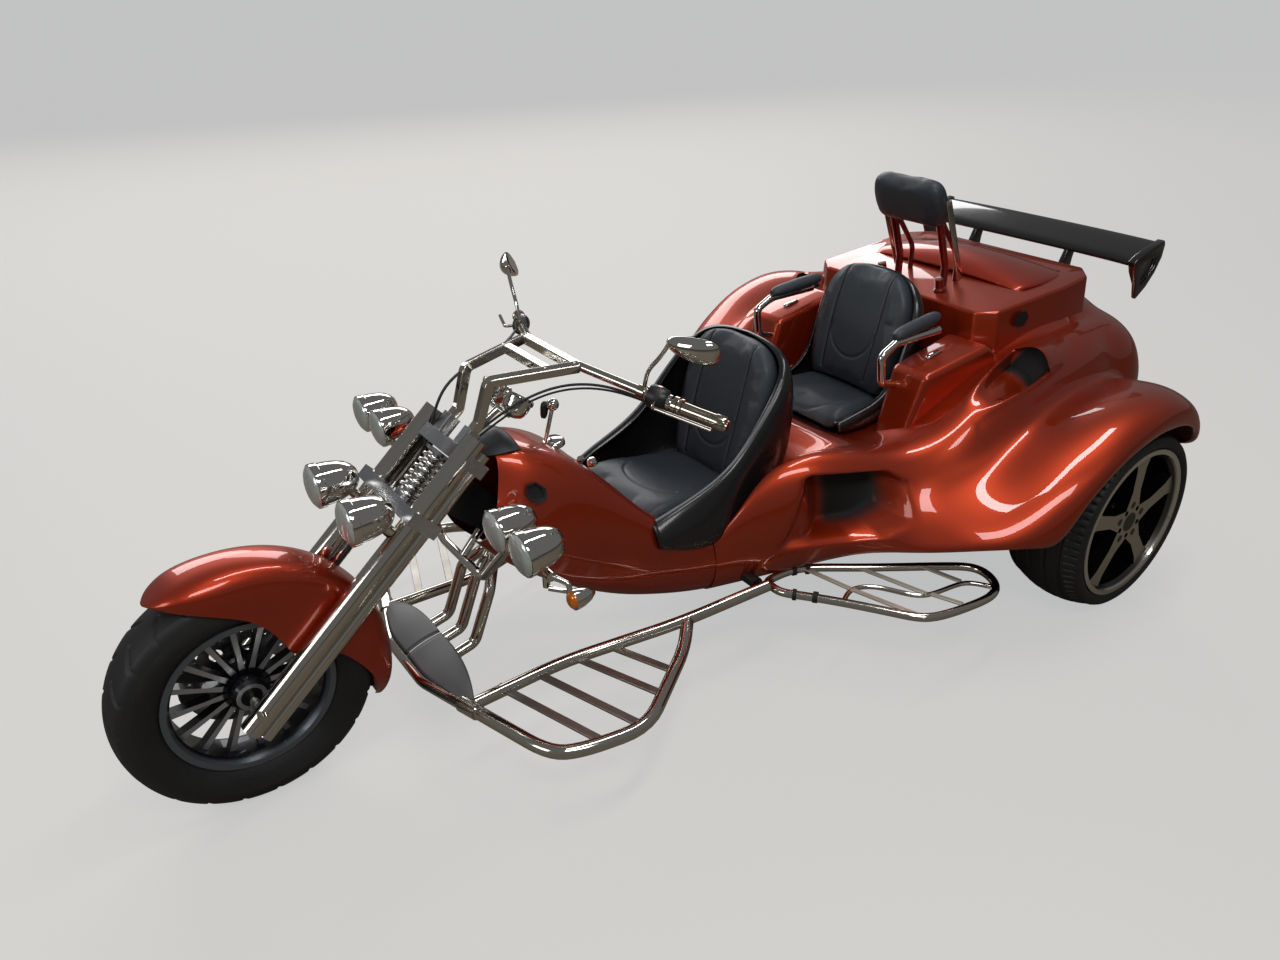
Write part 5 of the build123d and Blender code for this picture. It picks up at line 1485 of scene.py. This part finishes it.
def buildMirrors():
    form, pane = mirrorSettings, mirrorSettings["pane"]
    glass = []
    for side, word in sides.items():
        start, end = onSide(form["start"], side), onSide(form["end"], side)
        length, along = (end - start).length, (end - start).normalized()
        facing = onSide(form["facing"], side)
        facing = (facing - along * facing.dot(along)).normalized()
        high = along.cross(facing).normalized()
        rows = []
        for share, half, deep in form["rows"]:
            row = []
            for angle in np.linspace(0, 2 * math.pi, 12, endpoint=False):
                out = -math.sin(angle) * (deep if math.sin(angle) > 0 else form["frontDepth"])
                spot = start + along * (share * length) + high * (half * math.cos(angle)) + facing * out
                row.append(tuple(spot))
            rows.append(row)
        replaced = ("mirrors",) if side > 0 else ()
        shell = makePiece("mirror_shell_" + word, *closedLoft(rows, 5, 4), "chrome", "fork", replaced)
        editMesh(shell, outward, sharpAbove(50.0))
        disc = []
        for angle in np.linspace(0, 2 * math.pi, 36, endpoint=False):
            far = length * (pane["middle"] + pane["half"] * math.cos(angle))
            rise = pane["halfHeight"] * math.sin(angle) * (1.0 + pane["egg"] * math.cos(angle))
            disc.append(start + along * far + high * rise + facing * pane["lift"])
        glass.append(makePiece("pane", disc, [tuple(range(36))], "mirrorGlass", "fork"))
        stem = [onSide(place, side) for place in form["stem"]]
        tubeAlong("mirror_stem_" + word, stem, form["stemRadius"], "chrome", "fork")
    merge("mirror_glass", "mirrorGlass", "fork", glass)


gaugeSettings = {
    "tilt": 35, "place": (1.723, .06, .91), "depth": .024,
    "cup": [(-.012, 0), (-.011, .014), (-.004, .028), (.008, .036), (.024, .0385), (.034, .0388),
            (.036, .0425), (.046, .0425), (.049, .0395), (.047, .0365), (.044, .036)],
    "face": [(.0445, .037), (.0445, 0)],
    "bar": (1.745, -.06, .887), "barRadius": .009, "barLength": .12,
    "postAhead": -.062, "postUp": .816, "postRadius": .01,
}


def buildGauges():
    form = gaugeSettings
    cups, faces = [], []
    facing = Vector((-math.sin(math.radians(form["tilt"])), 0, math.cos(math.radians(form["tilt"]))))
    for side in sides:
        start = onSide(form["place"], side) - facing * form["depth"]
        cups.append(turned("cup", start, facing, form["cup"], "chrome", "fork"))
        faces.append(turned("face", start, facing, form["face"], "dialFace", "fork"))
    bar = rod(form["barRadius"], form["barLength"])
    cups.append(turned("bar", form["bar"], (0, 1, 0), bar, "chrome", "fork", sides=14))
    foot = Vector(forkSpot(form["postAhead"], 0, form["postUp"]))
    post = Vector((form["bar"][0], 0, form["bar"][2])) - foot
    cups.append(turned("post", foot, post, rod(form["postRadius"], post.length), "chrome", "fork", sides=14))
    merge("gauge_cups", "chrome", "fork", cups, ("gauges",))
    merge("gauge_faces", "dialFace", "fork", faces)


springSettings = {
    "turns": 7, "low": .632, "high": .768, "behind": .03, "radius": .031, "wire": .0058,
    "damperLow": .624,
    "damper": [(0, 0), (0, .036), (.006, .036), (.007, .018), (.08, .018), (.081, .012),
               (.139, .012), (.14, .036), (.148, .036), (.148, 0)],
}


def buildSpring():
    form = springSettings
    coil = []
    steps = form["turns"] * 16
    for k in range(steps + 1):
        angle = 2 * math.pi * k / 16
        up = form["low"] + (form["high"] - form["low"]) * k / steps
        ahead, y = form["radius"] * math.cos(angle), form["radius"] * math.sin(angle)
        coil.append(forkSpot(ahead - form["behind"], y, up))
    tubeAlong("spring_coil", coil, form["wire"], "chrome", "fork", resolution=2, sides=3,
              replaced=("fork_spring",))
    axis = Vector(forkSpot(0, 0, 1)) - Vector(forkSpot(0, 0, 0))
    foot = forkSpot(-form["behind"], 0, form["damperLow"])
    turned("spring_damper", foot, axis, form["damper"], "satinAlloy", "fork")


wingSettings = {
    # Outlines as (station, height)
    "section": [(-.47, .978), (-.474, .964), (-.5, .966), (-.56, .984), (-.62, 1.006), (-.636, 1.014),
                (-.634, 1.026), (-.618, 1.028), (-.56, 1.014), (-.505, .998), (-.48, .99)],
    "half": .462, "bow": (.004, .006),
    "plate": [(-.466, .984), (-.5, 1.002), (-.56, 1.02), (-.632, 1.036), (-.64, 1.02), (-.636, .976),
              (-.61, .925), (-.57, .88), (-.52, .846), (-.508, .852), (-.5, .9), (-.48, .945)],
    "pocket": [(-.515, .96), (-.56, .978), (-.612, .984), (-.6, .945), (-.56, .905), (-.53, .89)],
    "plateInner": .44, "plateTaper": .016, "plateOuter": .468, "pocketFloor": .456,
    "pylon": [(-.47, .975), (-.523, .992), (-.508, .94), (-.5, .868), (-.434, .892), (-.45, .935)],
    "foot": [(-.428, .86), (-.436, .905), (-.5, .888), (-.508, .85)],
    "pylonY": .2, "pylonHalf": .009, "footHalf": .014, "round": .004, "footRound": .005,
}


def buildWing():
    # The blade is a closed rounded section that is swept across and sags a little to its ends
    form = wingSettings
    rows = []
    for y in np.linspace(-form["half"], form["half"], 15):
        rise = 1 - (abs(y) / form["half"]) ** 3
        rows.append([(x + form["bow"][0] * rise, y, z + form["bow"][1] * rise) for x, z in form["section"]])
    blade = makePiece("wing_blade", *closedLoft(rows, 3, 5), "wingBlack", "chassis", ("rear_wing",))
    editMesh(blade, outward, sharpAbove(50.0))
    for side, word in sides.items():
        buildWingPlate(side, word)
        y = side * form["pylonY"]
        pylon = prism(form["pylon"], y - form["pylonHalf"], y + form["pylonHalf"])
        pylon = makePiece("wing_pylon_" + word, *pylon, "wingBlack", "chassis")
        soften(editMesh(pylon, outward), form["round"], 30.0, 3)
        foot = prism(form["foot"], y - form["footHalf"], y + form["footHalf"])
        foot = makePiece("wing_foot_" + word, *foot, "bodyPaint", "chassis")
        soften(editMesh(foot, outward), form["footRound"], 30.0, 3)


def buildWingPlate(side, word):
    # End plate with a shallow pocket in its outer face
    form = wingSettings
    outline, pocket = form["plate"], form["pocket"]
    n, m = len(outline), len(pocket)
    vertices = []
    for x, z in outline:
        vertices.append((x, side * (form["plateInner"] + form["plateTaper"] * smoothStep(0.97, 0.86, z)), z))
    vertices += [(x, side * form["plateOuter"], z) for x, z in outline + pocket]
    vertices += [(x * 0.98 - 0.011, side * form["pocketFloor"], z * 0.98 + 0.019) for x, z in pocket]
    faces = [tuple(range(n))] + [(k, (k + 1) % n, (k + 1) % n + n, k + n) for k in range(n)]
    loops = [[Vector((x, z, 0)) for x, z in loop] for loop in (outline, pocket)]
    faces += [tuple(k + n for k in face) for face in geometry.tessellate_polygon(loops)]
    faces += [(2 * n + k, 2 * n + (k + 1) % m, 2 * n + (k + 1) % m + m, 2 * n + k + m) for k in range(m)]
    faces.append(tuple(range(2 * n + m, 2 * n + 2 * m)))
    plate = makePiece("wing_plate_" + word, vertices, faces, "wingBlack", "chassis")
    soften(editMesh(plate, outward), form["round"], 30.0, 3)


postSettings = {
    "brace": ((.15, .142, 1.225), (.036, .14, .945)), "half": (.013, .0035), "round": .0025,
    "bolt": (.15, .145, 1.222), "boltProfile": [(0, .009), (.004, .009), (.006, .006), (.006, 0)],
    "clamp": (.122, .128, .925), "clampDirection": (.25, 0, 1),
    "clampProfile": [(0, .022), (.004, .022), (.01, .016), (.04, .015), (.041, 0)],
}


def buildPosts():
    # Polished brace behind each red post, and a small clamp at the deck
    form = postSettings
    wide, thin = form["half"]
    for side, word in sides.items():
        line = [onSide(place, side) for place in form["brace"]]
        along = (line[1] - line[0]).normalized()
        across = Vector((0, 1, 0)).cross(along).normalized()
        corners = []
        for spot in line:
            for a, b in ((-wide, -thin), (wide, -thin), (wide, thin), (-wide, thin)):
                corners.append(spot + across * a + Vector((0, b, 0)))
        brace = makePiece("post_brace_" + word, corners, prismFaces(4), "polished", "chassis")
        soften(editMesh(brace, outward), form["round"], 30.0, 3)
        bolt, clamp = onSide(form["bolt"], side), onSide(form["clamp"], side)
        turned("post_bolt_" + word, bolt, (0, side, 0), form["boltProfile"], "chrome", "chassis", sides=18)
        turned("post_clamp_" + word, clamp, form["clampDirection"], form["clampProfile"], "postPaint",
               "chassis", sides=20)


trimSettings = {
    "vent": ((1.745, .1765, .703), (.12, 1, .32),
             [(0, .032), (.004, .031), (.002, .024), (-.006, .02), (-.006, 0)]),
    "cap": ((1.585, 0, .728), (.1, 0, 1),
            [(0, .034), (.01, .034), (.014, .031), (.018, .026), (.02, 0)]),
    "latch": ((1.497, .066, .664), (.3, 0, 1), [(0, .015), (.012, .015), (.018, .011), (.02, 0)]),
    "key": ((1.548, .086, .7), (.3, .2, 1), [(0, .01), (.01, .01), (.012, 0)]),
    "knob": ((1.6, -.02, .808), (-.18, 0, 1),
             [(0, 0), (0, .007), (.008, .01), (.03, .012), (.042, .011), (.048, .006),
              (.049, 0)]),
    # Pad on the tank: distances from the middle, then station, share of them, height of edge and crest
    "padAcross": (0, .03, .06, .085, .1),
    "pad": [(1.83, .56, .79, .794), (1.826, .72, .795, .808), (1.806, .84, .796, .822),
            (1.772, .94, .8, .832), (1.742, .94, .797, .826), (1.73, .86, .792, .812),
            (1.728, .76, .786, .796)],
    "hoseFoot": [(2.6, -.1, .33), (2.575, -.11, .38)],
    "hoseAlongFork": (-.05, -.088, (.1, .25, .4, .52, .64, .76)),
    "cables": {
        "brake_hose": ([(1.88, -.08, .95), (1.76, -.11, .985), (1.64, -.15, .985), (1.52, -.3, .97)],
                       .004),
        "clutch_cable": ([(1.485, .345, .948), (1.515, .25, .966), (1.58, .16, .975), (1.69, .11, .955),
                          (1.78, .09, .915), (1.85, .06, .86)], .0038),
        "switch_wire": ([(1.48, .352, .944), (1.508, .255, .955), (1.57, .165, .962), (1.68, .1, .94),
                         (1.77, .076, .895), (1.845, .05, .84)], .0032),
        "lamp_wire": ([(2.15, .112, .7), (2.12, .118, .64), (2.08, .105, .65), (2.02, .08, .72)], .003),
    },
}


def buildTrim():
    # Tank details: side vents, cap, latch, key and pad, then the gear knob and the cables
    form = trimSettings
    for side, word in sides.items():
        start, along, profile = form["vent"]
        turned("tank_vent_" + word, onSide(start, side), onSide(along, side), profile, "mattBlack",
               "chassis", sides=6, squash=(1.15, 0.85))
    turned("tank_cap", *form["cap"], "chrome", "chassis")
    turned("seat_latch", *form["latch"], "chrome", "chassis", sides=24)
    turned("tank_key", *form["key"], "chrome", "chassis", sides=20)
    pad = []
    for x, share, low, high in form["pad"]:
        pad.append([(x, y * share, low + (high - low) * (1 - (y / 0.1) ** 2)) for y in form["padAcross"]])
    bothHalves("tank_pad", splineGrid(pad, 5, 5), "sealGrey", "chassis")
    turned("gear_knob", *form["knob"], "satinBlack", "chassis", sides=24)
    ahead, y, ups = form["hoseAlongFork"]
    for name, (points, radius) in form["cables"].items():
        if name == "brake_hose":
            points = form["hoseFoot"] + [forkSpot(ahead, y, up) for up in ups] + points
        tubeAlong(name, points, radius, "gripRubber", "fork", sides=2)


buildLamps()
buildFender()
buildBars()
buildMirrors()
buildGauges()
buildSpring()
buildWing()
buildPosts()
buildTrim()
print("trike: lamps, bars, fender, wing")


# Tyres: the section of the CAD tyre, turned, with its tread cut in
tyreSettings = {
    # Node, kind, paint, body
    "wheels": [("front_tyre", "front", "frontTyre", "front_wheel"),
               ("left_rear_tyre", "rear", "leftTyre", "left_rear_wheel"),
               ("right_rear_tyre", "rear", "rightTyre", "right_rear_wheel")],
    "front": {"bead": .2033, "beadHalf": .0517, "columns": 440, "treadStep": .003, "depth": .0045},
    "rear": {"bead": .2413, "beadHalf": .1197, "columns": 490, "treadStep": .0033, "depth": .0065},
    # Front tread: slanting cuts in two lanes
    "slashes": {"count": 22, "lean": 9, "half": (.045, .085), "lane": .04, "reach": (.023, .029)},
    # Rear tread: rings, and short cuts on the shoulders
    "rings": {"lanes": (.026, .07), "half": .0042, "fade": .003},
    "cuts": {"count": 70, "lean": 3, "half": (.1, .18), "from": (.083, .087)},
}


def arcThrough(first, middle, last, count):
    # Points on the circle through three points
    a, b, c = (np.array(p, float) for p in (first, middle, last))
    ab, ac = b - a, c - a
    twice = 2 * (ab[0] * ac[1] - ab[1] * ac[0])
    offset = np.array([ac[1] * ab.dot(ab) - ab[1] * ac.dot(ac),
                       ab[0] * ac.dot(ac) - ac[0] * ab.dot(ab)]) / twice
    centre, radius = a + offset, np.linalg.norm(offset)
    start, via, end = (math.atan2(*(p - centre)[::-1]) for p in (a, b, c))
    via, end = (start + (angle - start + math.pi) % (2 * math.pi) - math.pi for angle in (via, end))
    return [tuple(centre + radius * np.array([math.cos(t), math.sin(t)]))
            for t in np.linspace(start, end, count)]


def treadCut(kind, lane, angle):
    # Share of the full depth at a place on the tread. Lane is the distance from the middle
    away, turn = abs(lane), angle / (2 * math.pi)
    if kind == "front":
        slash = tyreSettings["slashes"]
        phase = (turn * slash["count"] + away * slash["lean"] + (0.5 if lane > 0 else 0.0)) % 1.0
        inLane = 1 - smoothStep(*slash["reach"], abs(away - slash["lane"]))
        return (1 - smoothStep(*slash["half"], abs(phase - 0.5))) * inLane
    ring, cut = tyreSettings["rings"], tyreSettings["cuts"]
    edge = ring["half"] + ring["fade"]
    rings = max(1 - smoothStep(ring["half"], edge, abs(away - middle)) for middle in ring["lanes"])
    phase = (turn * cut["count"] + away * cut["lean"]) % 1.0
    cuts = (1 - smoothStep(*cut["half"], abs(phase - 0.5))) * smoothStep(*cut["from"], away)
    return max(rings, cuts)


def buildTyre(node, kind, paint, body):
    settings = tyreSettings[kind]
    low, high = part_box(node)
    centre = (low + high) / 2
    radius, half = (high.z - low.z) / 2, (high.y - low.y) / 2
    bead, beadHalf = settings["bead"], settings["beadHalf"]
    shoulder = radius - 0.18 * half
    flange = bead + 0.012
    wall = arcThrough((-beadHalf, flange), (-half, (flange + shoulder) / 2),
                      (-0.82 * half, shoulder), 8)[:-1]
    count = int(1.64 * half / settings["treadStep"]) | 1
    tread = arcThrough((-0.82 * half, shoulder), (0, radius), (0.82 * half, shoulder), count)
    section = wall + tread + [(-y, r) for y, r in reversed(wall)] + [(beadHalf, bead), (-beadHalf, bead)]
    columns = settings["columns"]
    turns = np.arange(columns) * (2 * math.pi / columns)
    vertices = []
    for k, (lane, out) in enumerate(section):
        onTread = len(wall) - 1 <= k <= len(wall) + count
        for turn in turns:
            reach = out - (treadCut(kind, lane, turn) * settings["depth"] if onTread else 0.0)
            x = centre.x - rearAxle + reach * math.cos(turn)
            vertices.append((x, centre.y + lane, centre.z + reach * math.sin(turn)))
    faces = gridFaces(len(section), columns, closedRows=True, closedColumns=True)
    piece = makePiece(node + "_tread", vertices, faces, paint, body, (node,))
    editMesh(piece, outward, sharpAbove(38.0))


boardSettings = {
    "level": .2, "tube": .019, "railThinner": .001, "clampThicker": .004,
    "outer": [(2.062, .246, .2), (1.966, .556, .2), (1.896, .597, .2), (1.712, .626, .2),
              (1.445, .43, .204), (1.375, .354, .232)],
    "outerRound": .075,
    "rail": [(2.05, .278, .2), (1.75, .268, .2), (1.4, .352, .23), (1.101, .396, .262)],
    "railRound": .09,
    "clamp": [(2.059, .257), (2.041, .314)],
    "slats": [((1.95, .255), (1.836, .606)), ((1.842, .262), (1.724, .612)), ((1.717, .276), (1.61, .548)),
              ((1.606, .302), (1.528, .488))],
    "slatPaint": "slatGrey", "slatLift": .004, "slatWidth": .024, "slatHeight": .007,
}


passengerSettings = {
    "level": .25, "tube": .013, "waveTube": .0075, "ringThicker": .0045,
    "loop": [(1.084, .395), (1.084, .438), (1.045, .482), (.965, .59), (.885, .715), (.845, .782),
             (.77, .806), (.69, .818), (.6, .828), (.54, .802), (.508, .745), (.51, .69),
             (.56, .648), (.63, .598), (.795, .484), (.905, .396), (.965, .364), (1.04, .362),
             (1.08, .364)],
    "wave": [(.972, .584), (.918, .549), (.878, .552), (.835, .58), (.807, .628), (.78, .681),
             (.748, .708), (.689, .717), (.621, .723), (.585, .738), (.558, .79)],
    "rings": [((1.062, .463), (1.054, .472)), ((1.022, .509), (1.013, .521)), ((.935, .385), (.925, .391)),
              ((.975, .366), (.963, .37))],
    "slats": [((.803, .482), (.745, .706)), ((.64, .6), (.612, .722)), ((.905, .556), (.842, .782)),
              ((.736, .712), (.702, .802)), ((.94, .384), (.906, .556))],
    "slatPaint": "slatSteel", "slatLift": .004, "slatWidth": .016, "slatHeight": .006,
}


def roundCorners(points, reach, count=6):
    # A path whose inner corners are cut by a curve that starts `reach` before each corner
    path = [Vector(points[0])]
    for before, corner, after in zip(points, points[1:], points[2:]):
        before, corner, after = Vector(before), Vector(corner), Vector(after)
        start = corner + (before - corner).normalized() * min(reach, (before - corner).length * 0.49)
        end = corner + (after - corner).normalized() * min(reach, (after - corner).length * 0.49)
        path += [start * (1 - t) ** 2 + corner * (2 * t * (1 - t)) + end * t ** 2
                 for t in np.linspace(0, 1, count)]
    return path + [Vector(points[-1])]


def flatBar(start, end, level, width, height):
    # Box between two places, its middle at the given level
    along = (Vector(end) - Vector(start)).normalized()
    across = Vector((-along.y, along.x)) * width / 2
    corners = [Vector(start) - across, Vector(start) + across, Vector(end) + across, Vector(end) - across]
    vertices = [(c.x, c.y, level + rise) for rise in (-height / 2, height / 2) for c in corners]
    return vertices, prismFaces(4)


def buildSlats(name, settings, side):
    paint, level = settings["slatPaint"], settings["level"] + settings["slatLift"]
    pieces = []
    for start, end in settings["slats"]:
        start, end = (start[0], side * start[1]), (end[0], side * end[1])
        bar = flatBar(start, end, level, settings["slatWidth"], settings["slatHeight"])
        pieces.append(editMesh(makePiece("slat", *bar, paint, "chassis"), outward))
    soften(merge(name, paint, "chassis", pieces), 0.0012, segments=2)


def buildBoards():
    board = boardSettings
    for side, word in sides.items():
        outer = roundCorners([onSide(place, side) for place in board["outer"]], board["outerRound"])
        tubeAlong("board_tube_" + word, outer, board["tube"], "polished", "chassis", smooth=False,
                  sides=6, replaced=(word + "_footboard",))
        rail = roundCorners([onSide(place, side) for place in board["rail"]], board["railRound"])
        radius = board["tube"] - board["railThinner"]
        tubeAlong("board_rail_" + word, rail, radius, "polished", "chassis", smooth=False, sides=6)
        buildSlats("board_slats_" + word, board, side)
        clamp = [(x, side * y, board["level"]) for x, y in board["clamp"]]
        radius = board["tube"] + board["clampThicker"]
        tubeAlong("board_clamp_" + word, clamp, radius, "polished", "chassis", smooth=False, sides=6)
        buildPassengerBoard(side, word)


def buildPassengerBoard(side, word):
    board = passengerSettings
    loop, wave = ([(x, side * y, board["level"]) for x, y in board[path]] for path in ("loop", "wave"))
    loop = splineRow(len(loop), 4, closed=True) @ np.array(loop)
    tubeAlong("passenger_tube_" + word, loop, board["tube"], "polished", "chassis", closed=True,
              smooth=False, sides=5, replaced=(word + "_passenger_board",))
    tubeAlong("passenger_wave_" + word, wave, board["waveTube"], "polished", "chassis")
    buildSlats("passenger_slats_" + word, board, side)
    radius = board["tube"] + board["ringThicker"]
    for k, ends in enumerate(board["rings"]):
        ring = [(x, side * y, board["level"]) for x, y in ends]
        name = "passenger_ring_%s_%d" % (word, k)
        tubeAlong(name, ring, radius, "mattBlack", "chassis", smooth=False, sides=5)


splashSettings = {
    # Y, front edge, rear edge. The plate rises toward its rear edge
    "rows": [(.003, 2.104, 1.996), (.06, 2.105, 1.994), (.115, 2.104, 1.996), (.165, 2.091, 2.001),
             (.215, 2.076, 2.011), (.26, 2.063, 2.025), (.295, 2.056, 2.04), (.312, 2.052, 2.047)],
    "front": .2215, "rear": .252, "fullDepth": .111,
    "endDrop": .02, "crown": .006, "thickness": .003,
}


def buildSplash():
    plate = splashSettings
    for side, word in sides.items():
        rows = []
        for y, front, rear in plate["rows"]:
            height = plate["front"] - plate["endDrop"] * smoothStep(0.20, 0.32, y)
            lift = (plate["rear"] - plate["front"]) * (front - rear) / plate["fullDepth"]
            row = []
            for t in np.linspace(0, 1, 5):
                rise = lift * t + plate["crown"] * math.sin(math.pi * t)
                row.append((front + (rear - front) * t, side * y, height + rise))
            rows.append(row)
        surface = splineGrid(rows, 4, 3)
        guard = makePiece("splash_plate_" + word, places(surface), gridFaces(*surface.shape[:2]),
                          "greyPlate", "chassis", ("splash_guard",) if side > 0 else ())
        thicken(editMesh(guard, outward), plate["thickness"], 0.0)


for wheel in tyreSettings["wheels"]:
    buildTyre(*wheel)
buildBoards()
buildSplash()
print("trike: tyres, boards, splash guard")

print("trike: finished")
